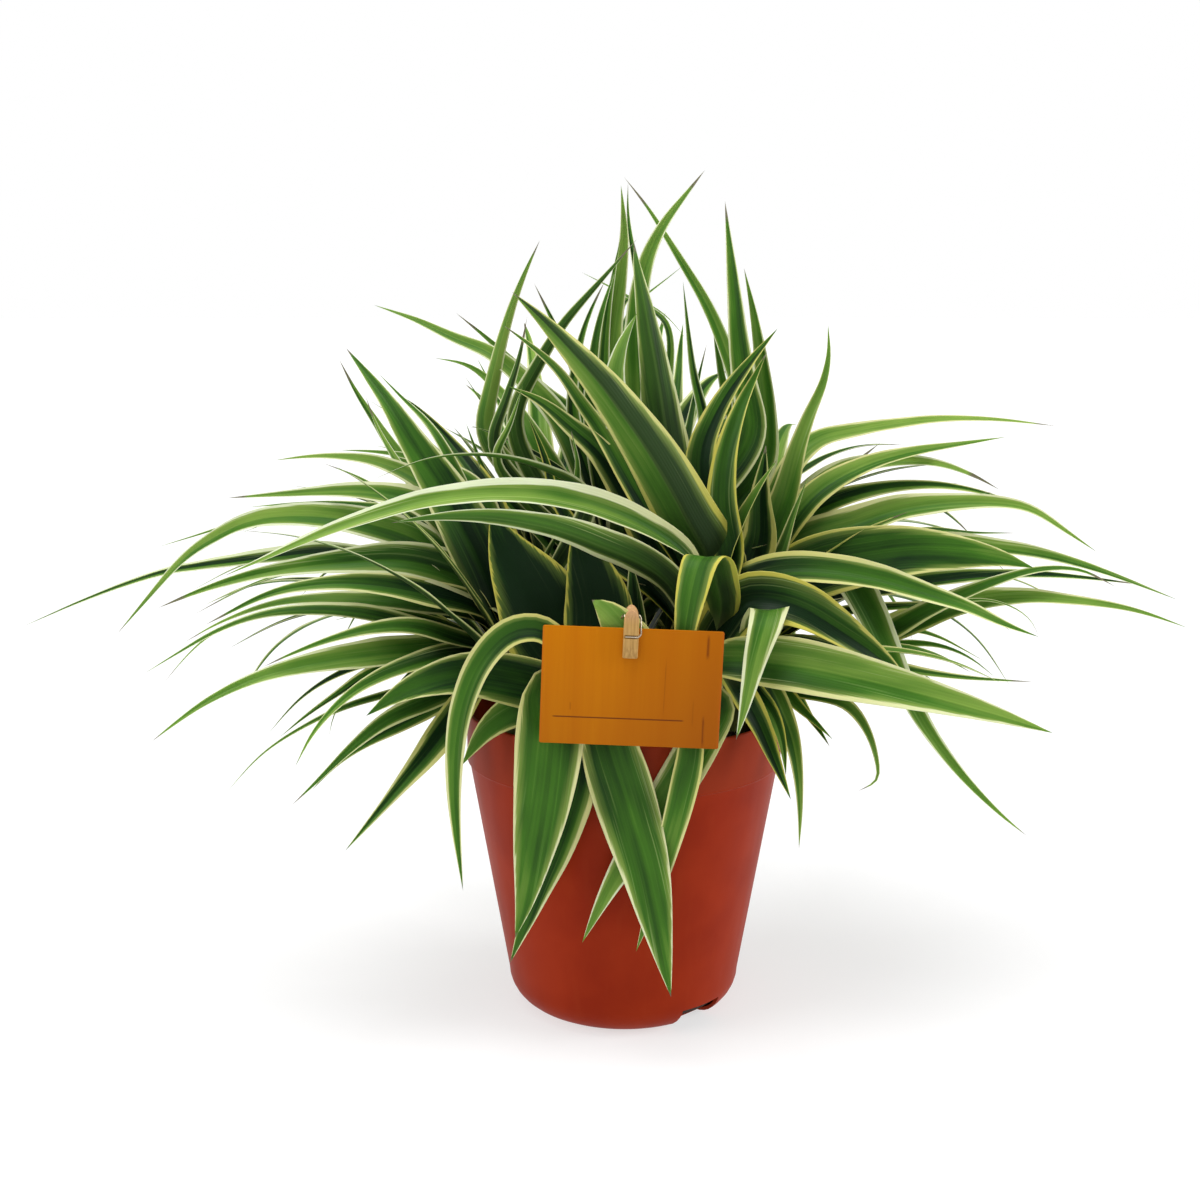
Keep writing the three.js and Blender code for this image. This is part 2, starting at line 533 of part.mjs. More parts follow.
// Depths are known at the base, at the tip and where a reading gives one. Between them the
// depth changes evenly with the distance along the midrib in the view.
function placedReading(crownName, row, rise) {
  const [width, face, tipDepth, ...marks] = row;
  const crown = CROWNS[crownName];
  const base = stemPoint(crown, rise);
  const seen = marks.map(([across, down, depth]) => ({ across, down, depth }));
  seen[seen.length - 1].depth = tipDepth;
  const spans = seen.map((mark, i) => {
    const last = i ? seen[i - 1] : { across: mark.across, down: mark.down + 40 };
    return Math.hypot(mark.across - last.across, mark.down - last.down);
  });
  let known = { depth: base.y, run: 0 };
  let run = 0;
  const places = [base];
  for (let i = 0; i < seen.length; i += 1) {
    run += spans[i];
    let next = i;
    let nextRun = run;
    while (seen[next].depth === undefined) {
      next += 1;
      nextRun += spans[next];
    }
    const share = (run - known.run) / (nextRun - known.run);
    const depth = known.depth + (seen[next].depth - known.depth) * share;
    places.push(seenAt(seen[i].across, seen[i].down, depth));
    if (next === i) known = { depth, run };
  }
  return { crown: crownName, width, face, places: roundedStart(places) };
}

function roundedStart(places) {
  const [base, first] = places;
  const reach = base.distanceTo(first);
  if (reach < START.shortest) return places;
  const lift = Math.min(START.mostLift, reach * START.lift);
  const lead = base.clone().lerp(first, START.share).add(vec(0, 0, lift));
  return [base, lead, ...places.slice(1)];
}

// A leaf that springs up at its rise angle and droops evenly towards its tip.
function placedArch(crownName, turn, rise, length, width, baseRise) {
  const out = vec(Math.cos(radians(turn)), Math.sin(radians(turn)), 0);
  const places = [stemPoint(CROWNS[crownName], baseRise)];
  const course = length / ARCH.courses;
  for (let i = 0; i < ARCH.courses; i += 1) {
    const bent = ((i + 0.5) / ARCH.courses) ** ARCH.bend * (length / ARCH.longest);
    const angle = radians(rise - (ARCH.droop - rise) * bent);
    const last = places[places.length - 1].clone();
    last.addScaledVector(out, course * Math.cos(angle));
    places.push(last.add(vec(0, 0, course * Math.sin(angle))));
  }
  return { crown: crownName, width, face: 0, places };
}

function fanLeaves() {
  const draw = seededDraw(FAN_SEED);
  const leaves = [];
  for (const fan of FANS) {
    for (let i = 0; i < fan.count; i += 1) {
      const share = (i + 0.5) / fan.count;
      const tier = tierOf(i);
      const turn = lerp(fan.from, fan.to, share) + (draw() - 0.5) * FAN_WOBBLE.turn;
      const rise = lerp(...fan.rise, tier) + (draw() - 0.5) * FAN_WOBBLE.rise;
      const length = lerp(...fan.length, lerp(FAN_LENGTH_FROM, 1, draw()));
      const width = lerp(...FAN_WIDTHS, draw());
      const arch = (reach) => placedArch(fan.crown, turn, rise, reach, width, stemRise(tier));
      const fits = (reach) => arch(reach).places.every((at) => insideOutline(inView(at)));
      let reach = length;
      while (reach > FAN_SHORTEST && !fits(reach)) reach *= 0.94;
      if (reach > FAN_SHORTEST) leaves.push(arch(reach));
    }
  }
  return leaves;
}

// Every leaf keeps clear of the other rosettes, the pot and the card: where its first course
// would cross one, it leans a little nearer to the view or further from it, or to one side.
function leaningTries() {
  const tries = [];
  for (const far of [0, 5, -5, 10, -10, 16, -16, 24, -24, 32, -32]) {
    for (const middle of [0, 5, -5, 10, -10, 16, -16]) {
      for (const aside of [0, 2.5, -2.5, 6, -6]) {
        tries.push({ far, middle, aside, cost: Math.abs(far) + Math.abs(middle) + 4 * Math.abs(aside) });
      }
    }
  }
  return tries.sort((a, b) => a.cost - b.cost);
}

function leant(places, lean) {
  const eye = vec(VIEW.x, -VIEW.distance, VIEW.height);
  const tip = places[places.length - 1];
  return places.map((place, i) => {
    const along = i / (places.length - 1);
    const ray = place.clone().sub(eye).normalize();
    const heading = tip.clone().sub(places[0]).normalize();
    const aside = ray.clone().cross(heading).normalize();
    return place.clone()
      .addScaledVector(ray, lean.far * along + lean.middle * Math.sin(Math.PI * along))
      .addScaledVector(aside, lean.aside * along);
  });
}

function boxesMeet(a, b) {
  return a.min.every((low, k) => low <= b.max[k] && b.min[k] <= a.max[k]);
}

function obstacle(solid) {
  return { solid, box: solid.boundingBox() };
}

function clearOf(solid, obstacles) {
  const box = solid.boundingBox();
  return !obstacles.some((other) => boxesMeet(box, other.box)
    && !solid.intersect(other.solid).isEmpty());
}

function grownRosettes(leaves, fixed) {
  const names = Object.keys(CROWNS);
  const grown = Object.fromEntries(names.map((name) => [name, [obstacle(stemSolid(CROWNS[name]))]]));
  const tries = leaningTries();
  for (const leaf of leaves) {
    const obstacles = [...fixed];
    for (const name of names) if (name !== leaf.crown) obstacles.push(...grown[name]);
    const kin = grown[leaf.crown].slice(1);
    const clear = (one) => clearOf(bladeSolid(leaf, leant(leaf.places, one), SAFE_GAP), obstacles);
    const free = (one, from) => clearOf(bladeSolid(leaf, leant(leaf.places, one), KIN_GAP, from), kin);
    const lean = tries.find((one) => free(one, FREE_FROM[0]) && clear(one))
      ?? tries.find((one) => free(one, FREE_FROM[1]) && clear(one))
      ?? tries.find(clear);
    if (lean) grown[leaf.crown].push(obstacle(bladeSolid(leaf, leant(leaf.places, lean))));
  }
  return grown;
}

// Corners that only touch draw back from each other, each into its own leaf.
function partedCorners(solid) {
  const geometry = geometryOf(solid);
  geometry.computeVertexNormals();
  const { position, normal } = geometry.attributes;
  const met = new Map();
  let parted = 0;
  for (let i = 0; i < position.count; i += 1) {
    const corner = vec(position.getX(i), position.getY(i), position.getZ(i));
    const key = corner.toArray().map((value) => Math.round(value / SAME_PLACE)).join();
    const before = met.get(key) ?? 0;
    met.set(key, before + 1);
    if (before > 0) {
      const inward = vec(normal.getX(i), normal.getY(i), normal.getZ(i)).negate();
      corner.addScaledVector(inward, before * PART_BY);
      position.setXYZ(i, corner.x, corner.y, corner.z);
      parted += 1;
    }
  }
  return { geometry, parted };
}

// One solid from pieces that cross. Small hollows closed in between them are filled.
function fused(pieces) {
  let whole = wasm.Manifold.union(pieces.map((piece) => piece.solid)).simplify(FINEST_EDGE);
  let settled = false;
  while (!settled) {
    const { geometry, parted } = partedCorners(whole);
    const bodies = solidOf(geometry).decompose();
    whole = bodies.reduce((most, body) => (body.volume() > most.volume() ? body : most));
    settled = bodies.length === 1 && parted === 0;
  }
  return whole;
}

// ---------------------------------------------------------------- card and peg

function tiltedInto(geometry, middle) {
  geometry.rotateY(radians(CARD.tilt));
  geometry.translate(middle.x, middle.y, middle.z);
  return geometry;
}

const cardMiddle = seenAt(...CARD.middle, CARD.depth);
const pegMiddle = seenAt(...PEG.middle, CARD.depth - CARD.thick / 2 - CLEARANCE + PEG.gap);

function cardGeometry() {
  return tiltedInto(new THREE.BoxGeometry(CARD.width, CARD.thick, CARD.height), cardMiddle);
}

// One wooden jaw: a side outline cut to width, with a round top. The front one faces -Y.
function jawGeometry(facing) {
  const outer = PEG.gap + PEG.jaw;
  const grooveTop = -PEG.groove.down + PEG.groove.height / 2;
  const side = new THREE.Shape([
    [PEG.gap, -PEG.bottom], [outer - 1, -PEG.bottom], [outer, -PEG.bottom + 4],
    [outer, grooveTop - PEG.groove.height], [outer - PEG.groove.depth, grooveTop - PEG.groove.height],
    [outer - PEG.groove.depth, grooveTop], [outer, grooveTop], [outer, 1],
    [outer + PEG.flare, PEG.top], [PEG.gap + PEG.flare, PEG.top], [PEG.gap, 1.8],
  ].map(([y, z]) => new THREE.Vector2(facing * y, z)));
  const body = new THREE.ExtrudeGeometry(side, { depth: PEG.width, bevelEnabled: false });
  body.translate(0, 0, -PEG.width / 2);
  body.applyMatrix4(new THREE.Matrix4().makeBasis(vec(0, 1, 0), vec(0, 0, 1), vec(1, 0, 0)));
  const half = PEG.width / 2;
  const face = new THREE.Shape();
  face.moveTo(-half, -PEG.bottom - 1);
  face.lineTo(half, -PEG.bottom - 1);
  face.lineTo(half, PEG.top - half);
  face.absarc(0, PEG.top - half, half, 0, Math.PI);
  const front = new THREE.ExtrudeGeometry(face, { depth: 20, bevelEnabled: false, curveSegments: 8 });
  front.translate(0, 0, -10);
  front.rotateX(Math.PI / 2);
  return tiltedInto(geometryOf(solidOf(body).intersect(solidOf(front))), pegMiddle);
}

// The spring: an arm in each jaw's groove, joined by a coil between the jaws.
function springGeometry() {
  const out = PEG.gap + PEG.jaw - PEG.groove.depth / 2;
  const past = PEG.width / 2 + PEG.wire + CLEARANCE;
  const down = -PEG.groove.down;
  const arm = (front) => [
    vec(-front * (PEG.width / 2 - 0.6), -front * out, down), vec(0, -front * out, down),
    vec(front * (PEG.width / 2 - 0.3), -front * out, down),
    vec(front * past, -front * (out - 0.6), down + 0.8),
    vec(front * past, -front * (PEG.gap + 1), down * 0.55),
    vec(front * past, -front * (PEG.gap + 0.3), -1.2),
  ];
  const coil = [];
  const marks = PEG.turns * 6;
  for (let i = 0; i <= marks; i += 1) {
    const turn = -Math.PI / 2 + (2 * Math.PI * PEG.turns * i) / marks;
    const across = past * (1 - (2 * i) / marks);
    coil.push(vec(across, PEG.coil * Math.sin(turn), PEG.coil * Math.cos(turn)));
  }
  const path = new THREE.CatmullRomCurve3([...arm(1), ...coil, ...arm(-1).reverse()]);
  const wire = new THREE.Shape();
  wire.absarc(0, 0, PEG.wire, 0, 2 * Math.PI);
  const settings = { steps: 48, extrudePath: path, bevelEnabled: false, curveSegments: 3 };
  return tiltedInto(new THREE.ExtrudeGeometry(wire, settings), pegMiddle);
}

// ---------------------------------------------------------------- the plant in its pot

const pot = potSolid();
const soil = soilSolid();
const card = cardGeometry();
const jaws = { peg_front: jawGeometry(-1), peg_back: jawGeometry(1) };
const spring = springGeometry();

const fixed = [pot, soil, ...[card, jaws.peg_front, jaws.peg_back, spring].map(solidOf)];

const leaves = [placedReading('front', HELD_LEAF, stemRise(0.4))];
for (const [crown, rows] of Object.entries(LEAVES)) {
  rows.forEach((row, i) => leaves.push(placedReading(crown, row, stemRise(tierOf(i)))));
}
leaves.push(...fanLeaves());

place('pot', geometryOf(pot), matte(COLOURS.pot, 0.55));
place('soil', geometryOf(soil), matte(COLOURS.soil, 0.95));
for (const [name, pieces] of Object.entries(grownRosettes(leaves, fixed.map(obstacle)))) {
  place(`rosette_${name}`, geometryOf(fused(pieces)), matte(COLOURS.leaf, 0.5));
}
place('label_card', card, matte(COLOURS.card, 0.6));
for (const [name, geometry] of Object.entries(jaws)) place(name, geometry, matte(COLOURS.wood, 0.65));
place('peg_spring', spring, matte(COLOURS.wire, 0.35, 0.9));

export default plant;
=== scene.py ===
# Potted spider plant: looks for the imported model. Seven rosettes of striped leaves in a plastic
# nursery pot, with a bare wooden card held to one leaf by a small spring peg.
# The frame is in metres. Sizes here are in millimetres and turned to metres where a mesh is made.

import math

import bmesh
import bpy
from mathutils import Matrix, Vector, kdtree


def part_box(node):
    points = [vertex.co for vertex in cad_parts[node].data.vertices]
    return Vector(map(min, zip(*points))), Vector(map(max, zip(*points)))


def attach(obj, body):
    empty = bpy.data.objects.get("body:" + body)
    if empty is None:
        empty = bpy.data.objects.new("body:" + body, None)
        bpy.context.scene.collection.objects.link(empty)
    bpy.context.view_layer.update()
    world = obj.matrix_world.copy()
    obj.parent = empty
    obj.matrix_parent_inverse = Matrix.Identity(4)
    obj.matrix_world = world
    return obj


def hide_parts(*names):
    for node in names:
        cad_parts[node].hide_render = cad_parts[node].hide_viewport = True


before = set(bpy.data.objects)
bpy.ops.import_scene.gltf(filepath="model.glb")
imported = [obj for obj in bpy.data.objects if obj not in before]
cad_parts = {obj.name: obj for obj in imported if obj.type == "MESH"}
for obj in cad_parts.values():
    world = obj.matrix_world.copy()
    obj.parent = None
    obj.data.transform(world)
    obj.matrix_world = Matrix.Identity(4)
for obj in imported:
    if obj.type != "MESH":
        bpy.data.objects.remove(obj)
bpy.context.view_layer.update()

# ---------------------------------------------------------------- sizes, as in the part's source

MM = 0.001
RIM_RADIUS = 60
POT_HEIGHT = 116.5
BAND_HEIGHT = 20
WALL_TOP_RADIUS = 59.1
FOOT_RADIUS = 44.7
FOOT_CORNER = 13
POT_WALL = 1.3
NOTCH_WIDTH = 19
NOTCH_HEIGHT = 9
NOTCH_ANGLES = (42, 222)

CLEARANCE = 0.35
SOIL_TOP = 104
SOIL_HUMP = 2.5

CARD = {"width": 60.6, "height": 40.4, "thick": 1.2, "depth": -73, "middle": (631.2, 687.3), "tilt": 2.3}
PEG = {
    "middle": (631.5, 619), "width": 5.1, "jaw": 2.4, "top": 3.9, "bottom": 12.8, "gap": 2.1, "flare": 1.2,
    "groove_down": 5.3, "groove_height": 1.2, "groove_depth": 0.8, "coil": 1.4, "wire": 0.32, "turns": 2.5,
}

# A strap leaf: width at the base and the widest place as shares, how deep the fold is at the
# base and past it, and by where the blade has turned its face to the view.
BLADE = {
    "base_width": 0.36, "widest": 0.4, "taper": 1.65, "fold": (0.55, 0.18), "open_by": 0.4,
    "turned_by": 0.35, "step": 37, "steps": (4, 7),
}
START = {"shortest": 22, "share": 0.4, "lift": 0.16, "most_lift": 14}
COLLAR_RISE = 4
STEM_RISES = (0.35, 0.6)
HELD_TIER = 0.4
READING_LEAD = 40
GOLDEN_SHARE = 0.618

# The view that the leaf readings below were taken in: a 1200 x 1200 frame.
VIEW = {"distance": 600, "height": 266.2, "pitch": 10.29, "focal": 1611, "x": -9.15, "centre": 600}
EYE = Vector((VIEW["x"], -VIEW["distance"], VIEW["height"]))
UP = Vector((0, 0, 1))

# Where each rosette stands in the soil, where its leaf bases part, and its stem's two radii.
CROWNS = {
    "front": {"foot": (4, -34), "neck": (4, -42, 134), "radius": (8, 5.5)},
    "left": {"foot": (-37, -12), "neck": (-42, -19, 137), "radius": (8.5, 6)},
    "centre": {"foot": (25, -15), "neck": (31, -24, 146), "radius": (8.5, 6)},
    "right": {"foot": (40, 14), "neck": (49, 7, 144), "radius": (8.5, 6)},
    "top": {"foot": (1, 9), "neck": (2, 12, 142), "radius": (8.5, 6)},
    "rear_left": {"foot": (-25, 32), "neck": (-30, 37, 136), "radius": (8, 5.5)},
    "rear_right": {"foot": (16, 41), "neck": (19, 45, 137), "radius": (8, 5.5)},
}

# ---------------------------------------------------------------- leaf readings

# One row per leaf: width in mm, how far the blade turns its face to the view (0 to 1), the
# depth of the tip (mm, +Y is away from the view), then the midrib from base to tip as
# [across, down] in the view's frame, or [across, down, depth] where the depth is known.
LEAVES = {
    "front": [
        [20, 1.0, -68, [552, 690, -58], [545, 728, -65], [541, 765], [537, 805], [531, 850], [524, 900],
          [515, 938]],
        [22, 1.0, -69, [600, 700, -56], [607, 742, -64], [622, 790], [634, 830], [646, 872], [657, 925],
          [671, 997]],
        [12, 0.8, -58, [575, 700, -52], [572, 765, -62.5], [562, 810, -61], [552, 850], [538, 890],
          [510, 963]],
        [15, 0.8, -62, [722, 706, -52], [700, 745, -62], [675, 785], [650, 825], [625, 862], [603, 900],
          [582, 943]],
        [10, 0.7, -54, [692, 735, -60], [682, 795, -60], [670, 840], [656, 890], [636, 952]],
        [14, 0.8, -72, [566, 650, -62], [541, 629], [510, 632], [482, 660], [464, 700], [456, 740],
          [454, 800], [463, 891]],
        [19, 0.9, -70, [560, 690], [510, 680], [465, 674], [430, 681], [398, 694], [366, 716]],
        [20, 0.9, -34, [560, 640], [532, 592], [508, 552], [490, 512]],
        [19, 0.9, -34, [602, 640], [597, 600], [586, 562], [574, 520]],
        [9, 0.8, -38, [636, 640], [633, 590], [630, 556]],
        [16, 0.9, -50, [580, 700, -50], [525, 706], [488, 728], [462, 765]],
    ],
    "left": [
        [16, 0.8, -40, [500, 605], [450, 572], [400, 560], [350, 562], [300, 567], [250, 576],
          [200, 591], [158, 608]],
        [13, 0.6, -46, [482, 612], [430, 596], [385, 587], [330, 584], [270, 594], [205, 625]],
        [12, 0.4, -30, [478, 620], [420, 607], [370, 602], [310, 600], [260, 608], [218, 624], [185, 642]],
        [10, 0.4, -52, [478, 645], [425, 628], [370, 613], [320, 607], [265, 610], [215, 627],
          [180, 646], [145, 666]],
        [8, 0.3, -20, [400, 618], [330, 611], [265, 616], [215, 633], [188, 655], [163, 684]],
        [7, 0.3, 0, [430, 636], [390, 620], [355, 616], [332, 621]],
        [10, 0.5, -50, [460, 643], [415, 628], [370, 630], [325, 642], [290, 655], [263, 667]],
        [14, 0.6, -70, [480, 652], [420, 652], [360, 657], [300, 667], [255, 679], [210, 700],
          [180, 720], [151, 742]],
        [7, 0.4, -20, [430, 660], [380, 662], [345, 672], [318, 686], [294, 705], [268, 734]],
        [9, 0.5, -40, [440, 662], [375, 672], [340, 693], [305, 717], [280, 737]],
        [10, 0.5, -72, [462, 655], [405, 668], [362, 687], [335, 708], [312, 735], [295, 767]],
        [5, 0.4, -10, [400, 670], [360, 690], [336, 711], [329, 736]],
        [5, 0.4, -30, [410, 690], [350, 706], [300, 729], [260, 756], [226, 793]],
        [10, 0.6, -60, [462, 690], [420, 706], [385, 722], [350, 750], [318, 781], [292, 805]],
        [9, 0.6, -30, [450, 700], [410, 722], [370, 742], [340, 762], [312, 790]],
        [13, 0.8, -66, [482, 690], [452, 724], [425, 758], [400, 787], [372, 820], [345, 851]],
        [8, 0.5, -10, [465, 690], [440, 718], [414, 754]],
        [7, 0.5, -6, [450, 655], [412, 671], [388, 698]],
        [14, 0.7, 10, [430, 548], [380, 527], [330, 518], [290, 516], [250, 521], [215, 537],
          [184, 558], [150, 596], [117, 634]],
        [8, 0.5, 26, [400, 522], [340, 512], [290, 509], [250, 518], [214, 530], [158, 547]],
        [12, 0.4, 34, [420, 575], [330, 553], [280, 557], [240, 562], [200, 567], [159, 574], [92, 597],
          [24, 626]],
        [12, 0.7, 20, [430, 508], [380, 493], [340, 491], [287, 494], [227, 498]],
        [10, 0.5, 40, [410, 520], [350, 506], [300, 504], [249, 507]],
        [13, 0.7, 14, [430, 492], [380, 466], [340, 460], [300, 461], [270, 465]],
        [10, 0.6, 30, [480, 492], [430, 463], [385, 453], [339, 450]],
        [15, 0.9, 8, [450, 500], [415, 446], [390, 406], [368, 376], [346, 348]],
        [11, 0.8, 16, [430, 500], [398, 456], [375, 421], [355, 390], [339, 359]],
        [9, 0.8, 4, [412, 496], [380, 452], [364, 428], [352, 404]],
        [13, 0.8, 26, [490, 500], [456, 449], [435, 425], [415, 406], [401, 396]],
        [6, 0.6, 40, [440, 440], [402, 398], [379, 374]],
        [9, 0.3, -46, [590, 500], [540, 468], [500, 457], [460, 455], [420, 461], [372, 480]],
    ],
    "centre": [
        [21, 0.9, -52, [708, 560], [691, 528], [672, 492], [650, 455], [625, 418], [600, 384],
          [568, 348], [540, 318], [512, 292]],
        [15, 0.6, -84, [690, 562], [650, 530], [600, 508], [550, 496], [500, 493], [440, 498],
          [380, 513], [320, 534], [270, 556], [224, 576]],
        [14, 0.6, -70, [672, 588], [640, 563], [600, 546], [560, 531], [520, 522], [478, 517],
          [430, 518], [391, 523]],
        [15, 0.9, -66, [722, 592], [712, 563, -46], [699, 572, -58], [689, 605], [683, 640], [676, 700]],
        [14, 0.6, -66, [722, 600], [748, 582], [785, 571], [830, 572], [880, 581], [930, 596],
          [970, 609], [1005, 625], [1039, 637]],
        [15, 0.9, -6, [722, 560], [708, 510], [700, 456], [720, 404], [750, 362], [778, 328]],
        [13, 0.8, 6, [730, 560], [722, 505], [726, 455], [740, 408], [754, 378], [767, 352]],
        [13, 0.9, -20, [733, 566], [718, 526], [711, 482], [711, 440]],
        [17, 0.9, -10, [745, 575], [760, 540], [760, 500], [766, 445]],
        [20, 0.9, -74, [716, 660, -50], [745, 662], [800, 667], [850, 677], [900, 689], [950, 702],
          [1000, 716], [1053, 733]],
        [12, 0.9, -73, [738, 604, -52], [762, 612, -66], [758, 650], [749, 690], [741, 722], [736, 740]],
        [10, 0.7, -62, [722, 668, -44], [742, 694, -58], [758, 722], [772, 755], [791, 800]],
        [8, 0.7, -60, [735, 660], [752, 690], [771, 712], [782, 742], [786, 776]],
        [18, 0.8, -40, [720, 645], [760, 612], [800, 606], [845, 632], [885, 660], [915, 692]],
        [13, 0.6, 4, [720, 560], [738, 534], [756, 532], [768, 556]],
        [16, 0.9, -14, [662, 560], [625, 490], [600, 452], [570, 426], [540, 401], [508, 386]],
        [9, 0.8, -4, [640, 500], [600, 430], [580, 402], [560, 373], [535, 349], [503, 325]],
        [8, 0.8, -20, [590, 545], [556, 502], [547, 466], [538, 440], [527, 414]],
    ],
    "right": [
        [15, 0.8, 14, [785, 500], [797, 452], [810, 415], [823, 385], [829, 355], [828, 324]],
        [9, 0.8, -4, [780, 556], [793, 516], [808, 477]],
        [12, 0.5, 54, [790, 470], [818, 441], [850, 433], [900, 424], [950, 419], [1000, 420], [1056, 426]],
        [12, 0.6, 44, [810, 500], [860, 468], [905, 454], [950, 446], [1006, 437]],
        [14, 0.7, 20, [790, 530], [812, 494], [840, 473], [870, 464], [905, 461], [940, 464],
          [972, 475], [1000, 490]],
        [13, 0.6, 24, [795, 525], [845, 499], [900, 487], [960, 488], [1022, 504]],
        [16, 0.6, -4, [780, 560], [812, 538], [850, 528], [890, 514], [930, 506], [985, 503],
          [1030, 509], [1065, 531], [1097, 552]],
        [19, 0.9, -24, [790, 580], [830, 563], [870, 556], [910, 551], [955, 552], [1000, 558],
          [1034, 568]],
        [6, 0.5, 40, [870, 548], [925, 530], [970, 533], [1018, 533]],
        [13, 0.5, 4, [850, 575], [900, 555], [955, 546], [1000, 549], [1050, 557], [1090, 568],
          [1130, 582], [1178, 600]],
        [12, 0.5, -14, [840, 660], [880, 640], [920, 616], [960, 597], [1000, 581], [1040, 570],
          [1080, 570], [1116, 587]],
        [15, 0.5, 14, [870, 640], [930, 616], [980, 602], [1030, 598], [1090, 603], [1140, 612],
          [1188, 628]],
        [12, 0.4, 30, [830, 600], [880, 592], [930, 583], [990, 577], [1050, 576], [1100, 580],
          [1144, 585]],
        [15, 0.8, -46, [820, 555], [845, 572], [866, 606], [885, 645], [905, 690], [930, 734],
          [965, 779], [1000, 814], [1027, 836]],
        [8, 0.4, -10, [840, 665], [890, 668], [930, 674], [975, 679], [1035, 682]],
        [7, 0.5, 20, [870, 650], [905, 644], [940, 646], [970, 658], [996, 678]],
        [7, 0.5, 34, [870, 636], [910, 630], [940, 638], [962, 649], [984, 661]],
        [7, 0.5, 6, [860, 655], [900, 648], [938, 656], [972, 673]],
        [6, 0.4, 40, [930, 606], [985, 600], [1014, 608], [1031, 621], [1039, 637]],
        [7, 0.6, -34, [790, 690], [820, 696], [848, 706], [866, 729], [876, 758], [877, 780], [858, 791]],
        [9, 0.7, -44, [765, 680], [780, 708], [792, 740], [798, 775], [800, 812], [799, 849]],
        [9, 0.6, -20, [775, 690], [790, 712], [805, 730], [819, 748]],
        [7, 0.6, -4, [790, 690], [808, 716], [820, 732], [830, 747]],
    ],
    "top": [
        [13, 0.8, 40, [640, 420], [637, 350], [640, 290], [650, 252], [666, 221], [684, 197], [705, 170]],
        [12, 0.8, 24, [612, 430], [608, 370], [612, 322], [619, 280], [624, 240], [623, 210], [621, 185]],
        [7, 0.6, 34, [648, 400], [644, 310], [633, 252], [628, 215], [628, 183]],
        [18, 0.8, 6, [672, 480], [666, 430], [660, 390], [652, 345], [644, 300], [637, 264], [634, 242]],
        [11, 0.8, -6, [630, 450], [619, 400], [620, 372], [629, 342], [644, 313]],
        [5, 0.5, 60, [620, 340], [634, 306], [650, 292], [668, 278], [685, 264]],
        [8, 0.5, 52, [742, 420], [728, 356], [708, 307], [689, 274], [667, 238], [648, 208], [624, 177]],
        [7, 0.6, 44, [706, 440], [694, 376], [688, 328], [683, 281]],
        [8, 0.7, 30, [735, 440], [725, 392], [717, 345], [711, 300]],
        [6, 0.7, 56, [684, 450], [692, 412], [699, 376], [707, 343]],
        [6, 0.5, 66, [620, 300], [650, 306], [668, 318], [687, 340]],
        [14, 0.9, 30, [752, 440], [745, 385], [739, 341], [735, 300], [731, 260], [725, 201]],
        [14, 0.8, 16, [764, 470], [768, 420], [762, 360], [754, 312], [744, 268]],
        [9, 0.7, 6, [512, 430], [540, 362], [565, 322], [590, 293], [612, 268], [637, 239]],
        [8, 0.8, 20, [572, 420], [578, 350], [590, 312], [605, 281]],
        [9, 0.8, 10, [590, 420], [594, 350], [602, 310], [616, 268]],
        [8, 0.8, 34, [604, 420], [604, 350], [609, 300], [621, 236]],
        [5, 0.5, 58, [672, 330], [640, 304], [612, 288], [581, 272]],
        [9, 0.7, 14, [588, 410], [572, 366], [558, 333], [545, 306], [534, 283]],
        [10, 0.8, 0, [484, 440], [490, 388], [500, 345], [512, 305], [526, 270], [540, 240]],
        [9, 0.8, -8, [492, 450], [505, 402], [519, 358], [527, 317]],
        [9, 0.7, 24, [590, 430], [552, 398], [520, 369], [490, 341], [456, 313]],
        [11, 0.7, 34, [560, 420], [520, 378], [490, 353], [455, 339], [418, 321], [374, 305]],
        [11, 0.8, 46, [530, 430], [505, 398], [484, 376], [464, 364], [434, 358]],
        [7, 0.7, -12, [575, 500], [578, 466], [571, 430]],
        [8, 0.7, -14, [494, 465], [510, 425], [523, 385]],
        [8, 0.6, 4, [488, 480], [474, 446], [466, 423]],
        [6, 0.4, -18, [590, 500], [550, 464], [510, 441], [469, 425]],
    ],
    "rear_left": [],
    "rear_right": [],
}

# The leaf that the peg holds, as a row of the same kind.
HELD_LEAF = [
    7.5, 0.97, -69.5, [652, 704, -62], [646, 674, -70.9], [632, 646, -71.1], [613, 626, -71.1],
    [599, 612, -70.5], [585, 603],
]

# The plant's outline in the view's frame. The leaves below stay inside it.
SEEN_OUTLINE = [
    [512, 1000], [475, 770], [420, 770], [345, 830], [300, 780], [330, 735], [240, 700], [180, 705],
    [225, 650], [165, 650], [200, 600], [140, 590], [235, 535], [250, 500], [300, 470], [370, 445],
    [358, 375], [425, 425], [470, 420], [455, 345], [490, 365], [528, 290], [565, 325], [612, 290],
    [625, 195], [650, 260], [695, 190], [668, 300], [700, 330], [728, 225], [745, 320], [775, 350],
    [780, 440], [828, 345], [820, 450], [1000, 425], [960, 470], [1060, 525], [1150, 590],
    [1030, 620], [1010, 690], [920, 690], [1000, 800], [880, 720], [845, 715], [800, 810],
    [772, 770], [735, 1000],
]

